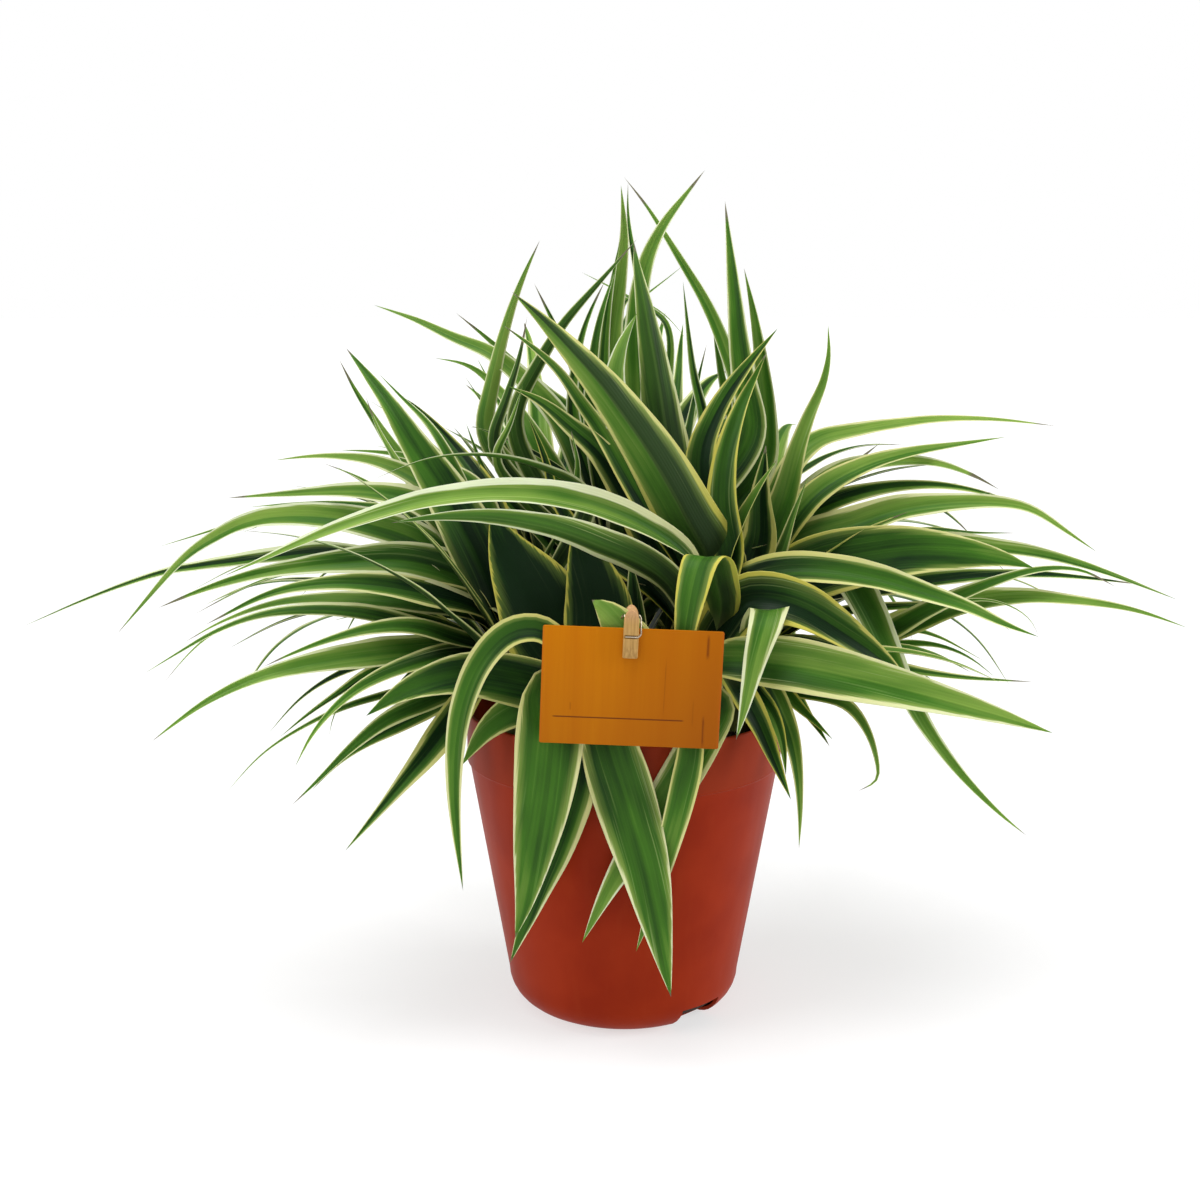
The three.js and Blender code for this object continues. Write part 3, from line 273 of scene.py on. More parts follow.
# Leaves on the sides that the readings don't reach: a fan per rosette, as angles in degrees
# about +Z from +X, the number of leaves, and the range of their lengths and rise angles.
FANS = [
    {"crown": "rear_left", "from": 75, "to": 215, "count": 22, "length": (120, 225), "rise": (28, 84)},
    {"crown": "rear_right", "from": -20, "to": 120, "count": 22, "length": (120, 225), "rise": (28, 84)},
    {"crown": "top", "from": 20, "to": 160, "count": 8, "length": (130, 190), "rise": (60, 86)},
    {"crown": "left", "from": 120, "to": 200, "count": 5, "length": (150, 210), "rise": (35, 70)},
    {"crown": "right", "from": -20, "to": 80, "count": 7, "length": (150, 215), "rise": (30, 70)},
]
FAN_SEED = 2024
FAN_WOBBLE = {"turn": 10, "rise": 8}
FAN_WIDTHS = (9, 16)
FAN_LENGTH_FROM = 0.35
FAN_SHORTEST = 75
FAN_SHORTENING = 0.94
HEART = {
    "seed": 505, "count": 12, "turn": 0.3, "length": (50, 88), "rise": (40, 84), "width": (12, 20),
    "behind": -24,
    # The reach of the heart's painted shade in mm: across, front to back, the height of its middle and how
    # tall it is.
    "wide": 150, "deep": 95, "middle": 148, "tall": 95,
}
ARCH = {"courses": 6, "droop": 150, "bend": 1.4, "longest": 225}


# ---------------------------------------------------------------- where each leaf runs


def lerp(a, b, share):
    return a + (b - a) * share


def smooth(t):
    t = min(max(t, 0), 1)
    return t * t * (3 - 2 * t)


def seeded_draw(seed):
    """Numbers from 0 to 1, the same run of them for the same seed."""
    word = 0xFFFFFFFF
    state = seed

    def draw():
        nonlocal state
        state = (state + 0x6D2B79F5) & word
        mixed = ((state ^ (state >> 15)) * (1 | state)) & word
        mixed = ((mixed + (((mixed ^ (mixed >> 7)) * (61 | mixed)) & word)) ^ mixed) & word
        return (mixed ^ (mixed >> 14)) / 4294967296

    return draw


def seen_at(across, down, depth):
    """The point at a given depth that lies behind a place in the view's frame."""
    pitch = math.radians(VIEW["pitch"])
    right = (across - VIEW["centre"]) / VIEW["focal"]
    up = (VIEW["centre"] - down) / VIEW["focal"]
    reach = (depth + VIEW["distance"]) / (math.cos(pitch) + up * math.sin(pitch))
    rise = -math.sin(pitch) + up * math.cos(pitch)
    return Vector((VIEW["x"] + reach * right, depth, VIEW["height"] + reach * rise))


def in_view(point):
    """Where a point shows in the view's frame."""
    pitch = math.radians(VIEW["pitch"])
    ray = point - EYE
    reach = ray.y * math.cos(pitch) - ray.z * math.sin(pitch)
    rise = ray.y * math.sin(pitch) + ray.z * math.cos(pitch)
    return VIEW["centre"] + VIEW["focal"] * ray.x / reach, VIEW["centre"] - VIEW["focal"] * rise / reach


def inside_outline(place):
    across, down = place
    inside = False
    for i, (x, y) in enumerate(SEEN_OUTLINE):
        last_x, last_y = SEEN_OUTLINE[i - 1]
        if (y > down) != (last_y > down) and across < (last_x - x) * (down - y) / (last_y - y) + x:
            inside = not inside
    return inside


def tier_of(i):
    return (i * GOLDEN_SHARE) % 1


def stem_rise(tier):
    return STEM_RISES[0] + STEM_RISES[1] * tier


def stem_point(crown, rise):
    foot = CROWNS[crown]["foot"]
    return Vector((foot[0], foot[1], SOIL_TOP + COLLAR_RISE)).lerp(Vector(CROWNS[crown]["neck"]), rise)


def placed_reading(crown, row, rise):
    """A reading's midrib in space. Depths that it doesn't give change evenly along the midrib."""
    width, face, tip_depth, *marks = row
    base = stem_point(crown, rise)
    seen = [(mark[0], mark[1], mark[2] if len(mark) > 2 else None) for mark in marks]
    seen[-1] = (seen[-1][0], seen[-1][1], tip_depth)
    spans = []
    for i, mark in enumerate(seen):
        last = seen[i - 1] if i else (mark[0], mark[1] + READING_LEAD)
        spans.append(math.hypot(mark[0] - last[0], mark[1] - last[1]))
    known_depth, known_run, run = base.y, 0, 0
    places = [base]
    for i, mark in enumerate(seen):
        run += spans[i]
        following, following_run = i, run
        while seen[following][2] is None:
            following += 1
            following_run += spans[following]
        share = (run - known_run) / (following_run - known_run)
        depth = known_depth + (seen[following][2] - known_depth) * share
        places.append(seen_at(mark[0], mark[1], depth))
        if following == i:
            known_depth, known_run = depth, run
    return {"crown": crown, "width": width, "face": face, "places": rounded_start(places)}


def rounded_start(places):
    base, first = places[0], places[1]
    reach = (first - base).length
    if reach < START["shortest"]:
        return places
    lift = min(START["most_lift"], reach * START["lift"])
    lead = base.lerp(first, START["share"]) + Vector((0, 0, lift))
    return [base, lead, *places[1:]]


def placed_arch(crown, turn, rise, length, width, base_rise):
    """A leaf that springs up at its rise angle and droops evenly towards its tip."""
    out = Vector((math.cos(math.radians(turn)), math.sin(math.radians(turn)), 0))
    places = [stem_point(crown, base_rise)]
    course = length / ARCH["courses"]
    for i in range(ARCH["courses"]):
        bent = ((i + 0.5) / ARCH["courses"]) ** ARCH["bend"] * (length / ARCH["longest"])
        angle = math.radians(rise - (ARCH["droop"] - rise) * bent)
        places.append(places[-1] + out * course * math.cos(angle) + UP * course * math.sin(angle))
    return {"crown": crown, "width": width, "face": 0, "places": places}


def fan_leaves():
    draw = seeded_draw(FAN_SEED)
    leaves = []
    for fan in FANS:
        for i in range(fan["count"]):
            tier = tier_of(i)
            turn = lerp(fan["from"], fan["to"], (i + 0.5) / fan["count"])
            turn += (draw() - 0.5) * FAN_WOBBLE["turn"]
            rise = lerp(*fan["rise"], tier) + (draw() - 0.5) * FAN_WOBBLE["rise"]
            reach = lerp(*fan["length"], lerp(FAN_LENGTH_FROM, 1, draw()))
            width = lerp(*FAN_WIDTHS, draw())
            arch = placed_arch(fan["crown"], turn, rise, reach, width, stem_rise(tier))
            while reach > FAN_SHORTEST and not all(inside_outline(in_view(at)) for at in arch["places"]):
                reach *= FAN_SHORTENING
                arch = placed_arch(fan["crown"], turn, rise, reach, width, stem_rise(tier))
            if reach > FAN_SHORTEST:
                leaves.append(arch)
    return leaves


def curve_through(places, per_course=24):
    """Points close together on the smooth curve through the places."""
    start = places[0] * 2 - places[1]
    end = places[-1] * 2 - places[-2]
    marks = [start, *places, end]
    points = [places[0].copy()]
    for i in range(1, len(marks) - 2):
        p0, p1, p2, p3 = marks[i - 1:i + 3]
        d1 = math.sqrt((p2 - p1).length) or 1
        d0 = math.sqrt((p1 - p0).length) or d1
        d2 = math.sqrt((p3 - p2).length) or d1
        t1 = ((p1 - p0) / d0 - (p2 - p0) / (d0 + d1) + (p2 - p1) / d1) * d1
        t2 = ((p2 - p1) / d1 - (p3 - p1) / (d1 + d2) + (p3 - p2) / d2) * d1
        for k in range(1, per_course + 1):
            t = k / per_course
            points.append(
                p1 + t1 * t + (p2 * 3 - p1 * 3 - t1 * 2 - t2) * t ** 2 + (p1 * 2 - p2 * 2 + t1 + t2) * t ** 3
            )
    return points


def eased(points, passes):
    """The points with small kinks rounded off and both ends kept."""
    for _ in range(passes):
        points = [points[0], *(
            (before + here * 2 + after) / 4 for before, here, after in zip(points, points[1:], points[2:])
        ), points[-1]]
    return points


def stations_on(places, steps, ease=0):
    """Even steps along the curve, as the point and the heading at each, and the curve's length."""
    points = eased(curve_through(places), ease)
    runs = [0]
    for before, after in zip(points, points[1:]):
        runs.append(runs[-1] + (after - before).length)
    found = []
    at = 0
    for i in range(steps + 1):
        run = runs[-1] * i / steps
        while at < len(runs) - 2 and runs[at + 1] < run:
            at += 1
        span = runs[at + 1] - runs[at]
        share = (run - runs[at]) / span if span else 0
        before = (points[at] - points[max(at - 1, 0)]) if at else (points[1] - points[0])
        here = points[at + 1] - points[at]
        after = points[min(at + 2, len(points) - 1)] - points[at + 1] if at + 2 < len(points) else here
        start = (before.normalized() + here.normalized()).normalized()
        finish = (here.normalized() + after.normalized()).normalized()
        heading = start.lerp(finish, share).normalized()
        found.append((points[at].lerp(points[at + 1], share), heading))
    return found, runs[-1]


def width_at(along):
    """Narrow and folded at the base, widest before the middle, then a long point."""
    if along < BLADE["widest"]:
        return lerp(BLADE["base_width"], 1, smooth(along / BLADE["widest"]))
    return 1 - ((along - BLADE["widest"]) / (1 - BLADE["widest"])) ** BLADE["taper"]


def cup_at(along):
    return lerp(*BLADE["fold"], smooth(along / BLADE["open_by"]))


def face_stations(leaf, places):
    """The leaf's wide stations, each with the direction of its upper face.

    By nature the face looks to the stem where the leaf rises, up where it lies over and outwards
    where it hangs. From there it rolls towards the view, with whichever face is nearer to it.
    """
    _, length = stations_on(places, 1)
    steps = min(max(math.floor(length / BLADE["step"] + 0.5), BLADE["steps"][0]), BLADE["steps"][1])
    found, _ = stations_on(places, steps)
    outward = places[-1] - places[0]
    outward.z = 0
    across = UP.cross(outward.normalized())
    stations = []
    for i, (point, heading) in enumerate(found):
        natural = heading.cross(across).normalized()
        turned = leaf["face"] * smooth(i / steps / BLADE["turned_by"])
        stations.append((point, heading, natural, turned, (EYE - point).normalized()))
    lit = sum(turned * natural.dot(to_eye) for _, _, natural, turned, to_eye in stations)
    faces = []
    roll = 0
    for point, heading, natural, turned, to_eye in stations[:-1]:
        aim = to_eye * (-1 if lit < 0 else 1)
        square = aim - heading * aim.dot(heading)
        found_roll = math.atan2(natural.cross(square).dot(heading), natural.dot(square))
        roll = found_roll + 2 * math.pi * round((roll - found_roll) / (2 * math.pi))
        faces.append(Matrix.Rotation(roll * turned, 3, heading) @ natural)
    return [(point, heading) for point, heading, *_ in stations], faces, length


def ring_corners(leaf, places):
    """The corners of the solid blade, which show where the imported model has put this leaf."""
    stations, faces, _ = face_stations(leaf, places)
    corners = [stations[-1][0]]
    steps = len(stations) - 1
    for i, facing in enumerate(faces):
        point, heading = stations[i]
        side = facing.cross(heading)
        half = leaf["width"] / 2 * width_at(i / steps)
        cup = half * cup_at(i / steps)
        corners += [point + side * half + facing * cup, point - side * half + facing * cup]
    return corners


def leant(places, far, middle, aside):
    """The same midrib, leaning nearer to the view or further from it, or to one side."""
    heading = (places[-1] - places[0]).normalized()
    moved = []
    for i, place in enumerate(places):
        along = i / (len(places) - 1)
        ray = (place - EYE).normalized()
        sideways = ray.cross(heading).normalized()
        away = far * along + middle * math.sin(math.pi * along)
        moved.append(place + ray * away + sideways * aside * along)
    return moved


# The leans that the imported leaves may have, in mm, and how near a corner counts as met.
FAR_LEANS = (0, 5, -5, 10, -10, 16, -16, 24, -24, 32, -32)
MIDDLE_LEANS = (0, 5, -5, 10, -10, 16, -16)
SIDE_LEANS = (0, 2.5, -2.5, 6, -6)
SAME_CORNER = 0.2
NEAREST_TIPS = 6
ENOUGH_CORNERS = 3


def as_packed(leaf, corners_packed):
    """The leaf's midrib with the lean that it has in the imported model."""

    def met(points):
        return sum(corners_packed.find(point)[2] < SAME_CORNER for point in points)

    tips = []
    for far in FAR_LEANS:
        for aside in SIDE_LEANS:
            places = leant(leaf["places"], far, 0, aside)
            tips.append((corners_packed.find(places[-1])[2], far, aside))
    tips.sort()
    best = (-1, None)
    for distance, far, aside in tips[:NEAREST_TIPS]:
        for middle in MIDDLE_LEANS:
            places = leant(leaf["places"], far, middle, aside)
            score = met(ring_corners(leaf, places))
            if score > best[0]:
                best = (score, places)
        if distance < SAME_CORNER and best[0] > ENOUGH_CORNERS:
            break
    return best[1]


def packed_leaves():
    """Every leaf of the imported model, crown by crown."""
    readings = [{**placed_reading("front", HELD_LEAF, stem_rise(HELD_TIER)), "row": "held"}]
    for crown, rows in LEAVES.items():
        for i, row in enumerate(rows):
            readings.append({**placed_reading(crown, row, stem_rise(tier_of(i))), "row": i})
    readings += fan_leaves()
    corners = {}
    for crown in CROWNS:
        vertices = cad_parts["rosette_" + crown].data.vertices
        corners[crown] = kdtree.KDTree(len(vertices))
        for i, vertex in enumerate(vertices):
            corners[crown].insert(vertex.co / MM, i)
        corners[crown].balance()
    leaves = {crown: [] for crown in CROWNS}
    for leaf in readings:
        leaf["places"] = as_packed(leaf, corners[leaf["crown"]])
        leaves[leaf["crown"]].append(leaf)
    return leaves


def heart_leaves():
    """Short leaves in the heart of each crown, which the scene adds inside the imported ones."""
    draw = seeded_draw(HEART["seed"])
    leaves = []
    for crown in CROWNS:
        for i in range(HEART["count"]):
            turn = 360 * (i * GOLDEN_SHARE + draw() * HEART["turn"])
            rise = lerp(*HEART["rise"], draw())
            length = lerp(*HEART["length"], draw())
            arch = placed_arch(crown, turn, rise, length, lerp(*HEART["width"], draw()), stem_rise(draw()))
            if all(at.y > HEART["behind"] for at in arch["places"]):
                leaves.append({**arch, "row": "heart"})
    return leaves


# ---------------------------------------------------------------- nodes, colours and meshes


def fill(tree, node, inputs):
    """Sets a node's inputs. Each is a plain value, a socket or a node to read from."""
    for name, value in inputs.items():
        if isinstance(value, bpy.types.Node):
            value = value.outputs[0]
        if isinstance(value, bpy.types.NodeSocket):
            tree.links.new(value, node.inputs[name])
        else:
            node.inputs[name].default_value = value


def add(tree, kind, inputs=None, **settings):
    """A new node with its settings and inputs."""
    node = tree.nodes.new(kind)
    for name, value in settings.items():
        setattr(node, name, value)
    fill(tree, node, inputs or {})
    return node


def paint(code):
    """An sRGB hex colour as the linear colour that a shader takes."""
    channels = [int(code[i:i + 2], 16) / 255 for i in (1, 3, 5)]
    return (*(c / 12.92 if c <= 0.04045 else ((c + 0.055) / 1.055) ** 2.4 for c in channels), 1)


def new_tree(name, entries):
    """An empty tree for shapes and its way in. Entries are (name, socket type, usual value)."""
    tree = bpy.data.node_groups.new(name, "GeometryNodeTree")
    for entry, kind, value in entries:
        socket = tree.interface.new_socket(entry, in_out="INPUT", socket_type=kind)
        if value is not None:
            socket.default_value = value
    tree.interface.new_socket("Geometry", in_out="OUTPUT", socket_type="NodeSocketGeometry")
    return tree, tree.nodes.new("NodeGroupInput").outputs


def closed_tree(tree, shape, material):
    """The tree with its end: real geometry in its material."""
    shape = add(tree, "GeometryNodeRealizeInstances", {"Geometry": shape})
    shape = add(tree, "GeometryNodeSetMaterial", {"Geometry": shape, "Material": material})
    add(tree, "NodeGroupOutput", {0: shape})
    return tree


def grown(name, mesh, tree, **sizes):
    """The plain mesh object that a tree makes of a mesh, with the tree's named sizes set."""
    carrier = bpy.data.objects.new(name + "_start", mesh)
    bpy.context.scene.collection.objects.link(carrier)
    modifier = carrier.modifiers.new("shape", "NODES")
    modifier.node_group = tree
    for item in tree.interface.items_tree:
        wanted = item.name.lower().replace(" ", "_")
        if item.in_out == "INPUT" and wanted in sizes:
            modifier[item.identifier] = sizes[wanted]
    done = carrier.evaluated_get(bpy.context.evaluated_depsgraph_get())
    shape = bpy.data.meshes.new_from_object(done)
    finish = [material for material in shape.materials if material][0]
    shape.materials.clear()
    shape.materials.append(finish)
    shape.polygons.foreach_set("material_index", [0] * len(shape.polygons))
    piece = bpy.data.objects.new(name, shape)
    bpy.data.objects.remove(carrier)
    bpy.context.scene.collection.objects.link(piece)
    return piece


def line_mesh(name, lines):
    """Open lines of points, each point a dict of the named values that a tree reads."""
    points = [point for line in lines for point in line]
    edges = []
    first = 0
    for line in lines:
        edges += [(first + i, first + i + 1) for i in range(len(line) - 1)]
        first += len(line)
    mesh = bpy.data.meshes.new(name)
    mesh.from_pydata([point["spine"] for point in points], edges, [])
    for key, value in points[0].items():
        if isinstance(value, Vector):
            layer = mesh.attributes.new(key, "FLOAT_VECTOR", "POINT")
            layer.data.foreach_set("vector", [number for point in points for number in point[key]])
        else:
            layer = mesh.attributes.new(key, "FLOAT", "POINT")
            layer.data.foreach_set("value", [point[key] for point in points])
    return mesh


def smoothed(mesh, sharp_from):
    """Shades a mesh smooth, but for edges that turn by more than an angle in degrees."""
    mesh.polygons.foreach_set("use_smooth", [True] * len(mesh.polygons))
    mesh.set_sharp_from_angle(angle=math.radians(sharp_from))


def lofted(name, rings, material):
    """A closed solid through rings of equal size, with flat ends."""
    mesh = bmesh.new()
    loops = [[mesh.verts.new(point * MM) for point in ring] for ring in rings]
    for before, after in zip(loops, loops[1:]):
        for i in range(len(before)):
            j = (i + 1) % len(before)
            mesh.faces.new((before[i], before[j], after[j], after[i]))
    mesh.faces.new(list(reversed(loops[0])))
    mesh.faces.new(loops[-1])
    bmesh.ops.recalc_face_normals(mesh, faces=mesh.faces)
    data = bpy.data.meshes.new(name)
    mesh.to_mesh(data)
    mesh.free()
    smoothed(data, 40)
    data.materials.append(material)
    piece = bpy.data.objects.new(name, data)
    bpy.context.scene.collection.objects.link(piece)
    return piece


def kept(piece, node):
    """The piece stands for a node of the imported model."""
    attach(piece, "root")
    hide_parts(node)


# ---------------------------------------------------------------- shapes by rule


# The edge wave's own run along each leaf, in mm, and what sets leaves and edges apart in its noise.
EDGE_WAVE = {"run": 26, "leaf": 7.3, "edge": 2.9}


def blade_tree(material):
    """Sweeps a lens-shaped, folded section along each line: the leaves and their sheaths."""
    tree, entry = new_tree("blade sweep", [
        ("Lines", "NodeSocketGeometry", None),
        ("Section points", "NodeSocketInt", 28),
        ("Fold curve", "NodeSocketFloat", 1.08),
        ("Edge wave", "NodeSocketFloat", 0.0006),
        ("Join distance", "NodeSocketFloat", 0.000004),
    ])
    value = {}
    for name in ("spine", "reach", "facing"):
        value[name] = add(tree, "GeometryNodeInputNamedAttribute", {"Name": name}, data_type="FLOAT_VECTOR")
    for name in ("cup", "thick", "run", "leaf", "across", "side", "width"):
        value[name] = add(tree, "GeometryNodeInputNamedAttribute", {"Name": name}, data_type="FLOAT")
    section = add(tree, "GeometryNodeCurvePrimitiveCircle", {
        "Resolution": entry["Section points"], "Radius": 1.0,
    })
    place = add(tree, "ShaderNodeSeparateXYZ", {0: add(tree, "GeometryNodeInputPosition")})
    for name, part in (("across", "X"), ("side", "Y")):
        section = add(tree, "GeometryNodeStoreNamedAttribute", {
            "Geometry": section, "Name": name, "Value": place.outputs[part],
        }, data_type="FLOAT", domain="POINT")
    lines = add(tree, "GeometryNodeMeshToCurve", {"Mesh": entry["Lines"]})
    swept = add(tree, "GeometryNodeCurveToMesh", {
        "Curve": lines, "Profile Curve": section, "Fill Caps": True,
    })
    from_midrib = add(tree, "ShaderNodeMath", {0: value["across"]}, operation="ABSOLUTE")
    folded = add(tree, "ShaderNodeMath", {0: from_midrib, 1: entry["Fold curve"]}, operation="POWER")
    height = add(tree, "ShaderNodeMath", {0: folded, 1: value["cup"]}, operation="MULTIPLY")
    skin = add(tree, "ShaderNodeMath", {0: value["side"], 1: value["thick"]}, operation="MULTIPLY")
    which_edge = add(tree, "ShaderNodeMath", {0: value["across"]}, operation="SIGN")
    wave_at = add(tree, "ShaderNodeCombineXYZ", {
        0: value["run"],
        1: add(tree, "ShaderNodeMath", {0: value["leaf"], 1: EDGE_WAVE["leaf"]}, operation="MULTIPLY"),
        2: add(tree, "ShaderNodeMath", {0: which_edge, 1: EDGE_WAVE["edge"]}, operation="MULTIPLY"),
    })
    wave = add(tree, "ShaderNodeTexNoise", {"Vector": wave_at, "Scale": 1 / EDGE_WAVE["run"], "Detail": 1.0})
    wave = add(tree, "ShaderNodeMath", {0: wave, 1: 0.5}, operation="SUBTRACT")
    edge = add(tree, "ShaderNodeMath", {0: from_midrib, 1: 2.0}, operation="POWER")
    for share in (entry["Edge wave"], value["width"], edge):
        wave = add(tree, "ShaderNodeMath", {0: wave, 1: share}, operation="MULTIPLY")
    for part in (skin, wave):
        height = add(tree, "ShaderNodeMath", {0: height, 1: part}, operation="ADD")
    rise = add(tree, "ShaderNodeVectorMath", {0: value["facing"], "Scale": height}, operation="SCALE")
    out = add(tree, "ShaderNodeVectorMath", {0: value["reach"], "Scale": value["across"]}, operation="SCALE")
    place = add(tree, "ShaderNodeVectorMath", {0: value["spine"], 1: out}, operation="ADD")
    place = add(tree, "ShaderNodeVectorMath", {0: place, 1: rise}, operation="ADD")
    shape = add(tree, "GeometryNodeSetPosition", {"Geometry": swept, "Position": place})
    shape = add(tree, "GeometryNodeMergeByDistance", {"Geometry": shape, "Distance": entry["Join distance"]})
    for name in ("spine", "reach", "facing"):
        shape = add(tree, "GeometryNodeRemoveAttribute", {"Geometry": shape, "Name": name})
    shape = add(tree, "GeometryNodeSetShadeSmooth", {"Geometry": shape})
    return closed_tree(tree, shape, material)


def turned_tree(material, notched=False):
    """Turns an outline about the upright axis. A pot also gets its drainage notches cut."""
    tree, entry = new_tree("turned body", [
        ("Outline", "NodeSocketGeometry", None),
        ("Sides", "NodeSocketInt", 160),
        ("Join distance", "NodeSocketFloat", 0.00002),
        ("Notch size", "NodeSocketVector", (NOTCH_WIDTH * MM, 2 * FOOT_CORNER * MM, 2 * NOTCH_HEIGHT * MM)),
        ("Foot radius", "NodeSocketFloat", FOOT_RADIUS * MM),
        ("Lumps", "NodeSocketFloat", 0.0),
        ("Lump size", "NodeSocketFloat", 0.006),
    ])
    rail = add(tree, "GeometryNodeCurvePrimitiveCircle", {"Resolution": entry["Sides"], "Radius": 1.0})
    rail = add(tree, "GeometryNodeStoreNamedAttribute", {
        "Geometry": rail, "Name": "round_at", "Value": add(tree, "GeometryNodeInputPosition"),
    }, data_type="FLOAT_VECTOR", domain="POINT")
    outline = add(tree, "GeometryNodeMeshToCurve", {"Mesh": entry["Outline"]})
    swept = add(tree, "GeometryNodeCurveToMesh", {"Curve": rail, "Profile Curve": outline})
    round_at = add(tree, "GeometryNodeInputNamedAttribute", {"Name": "round_at"}, data_type="FLOAT_VECTOR")
    spine = add(tree, "GeometryNodeInputNamedAttribute", {"Name": "spine"}, data_type="FLOAT_VECTOR")
    spine = add(tree, "ShaderNodeSeparateXYZ", {0: spine})
    out = add(tree, "ShaderNodeVectorMath", {0: round_at, "Scale": spine.outputs["X"]}, operation="SCALE")
    up = add(tree, "ShaderNodeCombineXYZ", {"Z": spine.outputs["Z"]})
    place = add(tree, "ShaderNodeVectorMath", {0: out, 1: up}, operation="ADD")
    shape = add(tree, "GeometryNodeSetPosition", {"Geometry": swept, "Position": place})
    shape = add(tree, "GeometryNodeMergeByDistance", {"Geometry": shape, "Distance": entry["Join distance"]})
    shape = add(tree, "GeometryNodeFlipFaces", {"Mesh": shape})
    if notched:
        cutters = add(tree, "GeometryNodeJoinGeometry")
        outwards = add(tree, "ShaderNodeMath", {0: entry["Foot radius"], 1: -1.0}, operation="MULTIPLY")
        outwards = add(tree, "ShaderNodeCombineXYZ", {"Y": outwards})
        for angle in NOTCH_ANGLES:
            block = add(tree, "GeometryNodeMeshCube", {"Size": entry["Notch size"]})
            block = add(tree, "GeometryNodeTransform", {"Geometry": block, "Translation": outwards})
            turn = (0, 0, math.radians(angle))
            block = add(tree, "GeometryNodeTransform", {"Geometry": block, "Rotation": turn})
            fill(tree, cutters, {0: block})
        shape = add(tree, "GeometryNodeMeshBoolean", {
            "Mesh 1": shape, "Mesh 2": cutters,
        }, operation="DIFFERENCE", solver="EXACT")
    lump = add(tree, "ShaderNodeTexNoise", {
        "Vector": add(tree, "GeometryNodeInputPosition"), "Detail": 4.0, "Roughness": 0.6,
        "Scale": add(tree, "ShaderNodeMath", {0: 1.0, 1: entry["Lump size"]}, operation="DIVIDE"),
    })
    lump = add(tree, "ShaderNodeMath", {0: lump, 1: 0.5}, operation="SUBTRACT")
    upward = add(tree, "ShaderNodeSeparateXYZ", {0: add(tree, "GeometryNodeInputNormal")})
    upward = add(tree, "ShaderNodeMath", {0: upward.outputs["Z"], 1: 0.0}, operation="MAXIMUM")
    for share in (entry["Lumps"], upward):
        lump = add(tree, "ShaderNodeMath", {0: lump, 1: share}, operation="MULTIPLY")
    lump = add(tree, "ShaderNodeCombineXYZ", {"Z": lump})
    shape = add(tree, "GeometryNodeSetPosition", {"Geometry": shape, "Offset": lump})
    return closed_tree(tree, shape, material)


# Crumbs lie on faces that look up by this much, down to this far below the soil's top in mm. Each
# is a ball drawn out by shares along its three sides and turned at random.
CRUMB = {
    "upward": 0.6, "deepest": 6, "least_stretch": (0.5, 0.5, 0.35), "most_stretch": (1.3, 1.0, 0.8),
    "most_turn": (6.28, 6.28, 6.28),
}


def crumb_tree(material):
    """Strews crumbs of compost over the upward faces of the soil."""
    tree, entry = new_tree("soil crumbs", [
        ("Soil", "NodeSocketGeometry", None),
        ("Crumbs per area", "NodeSocketFloat", 260000.0),
        ("Least spacing", "NodeSocketFloat", 0.0009),
        ("Smallest", "NodeSocketFloat", 0.0005),
        ("Largest", "NodeSocketFloat", 0.0019),
        ("Seed", "NodeSocketInt", 11),
    ])
    normal = add(tree, "ShaderNodeSeparateXYZ", {0: add(tree, "GeometryNodeInputNormal")})
    height = add(tree, "ShaderNodeSeparateXYZ", {0: add(tree, "GeometryNodeInputPosition")})
    upward, on_top = (
        add(tree, "FunctionNodeCompare", {0: part.outputs["Z"], 1: least}, operation="GREATER_THAN")
        for part, least in ((normal, CRUMB["upward"]), (height, (SOIL_TOP - CRUMB["deepest"]) * MM))
    )
    chosen = add(tree, "FunctionNodeBooleanMath", {0: upward, 1: on_top}, operation="AND")
    strewn = add(tree, "GeometryNodeDistributePointsOnFaces", {
        "Mesh": entry["Soil"], "Selection": chosen, "Distance Min": entry["Least spacing"],
        "Density Max": entry["Crumbs per area"], "Seed": entry["Seed"],
    }, distribute_method="POISSON")
    crumb = add(tree, "GeometryNodeMeshIcoSphere", {"Radius": 1.0, "Subdivisions": 1})
    spread = add(tree, "FunctionNodeRandomValue", {
        "Min": CRUMB["least_stretch"], "Max": CRUMB["most_stretch"], "Seed": 5,
    }, data_type="FLOAT_VECTOR")
    share = add(tree, "FunctionNodeRandomValue", {"Seed": 3}, data_type="FLOAT")
    few_large = add(tree, "ShaderNodeMath", {0: share.outputs[1], 1: 3.0}, operation="POWER")
    size = add(tree, "ShaderNodeMapRange", {
        "Value": few_large, "To Min": entry["Smallest"], "To Max": entry["Largest"],
    })
    size = add(tree, "ShaderNodeVectorMath", {0: spread, "Scale": size}, operation="SCALE")
    turn = add(tree, "FunctionNodeRandomValue", {
        "Min": (0, 0, 0), "Max": CRUMB["most_turn"], "Seed": 8,
    }, data_type="FLOAT_VECTOR")
    crumbs = add(tree, "GeometryNodeInstanceOnPoints", {
        "Points": strewn, "Instance": crumb, "Rotation": turn, "Scale": size,
    })
    return closed_tree(tree, crumbs, material)


def wire_tree(material):
    """A round wire along each line, with closed ends."""
    tree, entry = new_tree("wire along path", [
        ("Path", "NodeSocketGeometry", None),
        ("Wire radius", "NodeSocketFloat", PEG["wire"] * MM),
        ("Section points", "NodeSocketInt", 12),
    ])
    section = add(tree, "GeometryNodeCurvePrimitiveCircle", {
        "Resolution": entry["Section points"], "Radius": entry["Wire radius"],
    })
    wire = add(tree, "GeometryNodeCurveToMesh", {
        "Curve": add(tree, "GeometryNodeMeshToCurve", {"Mesh": entry["Path"]}),
        "Profile Curve": section, "Fill Caps": True,
    })
    return closed_tree(tree, add(tree, "GeometryNodeSetShadeSmooth", {"Geometry": wire}), material)


# ---------------------------------------------------------------- materials


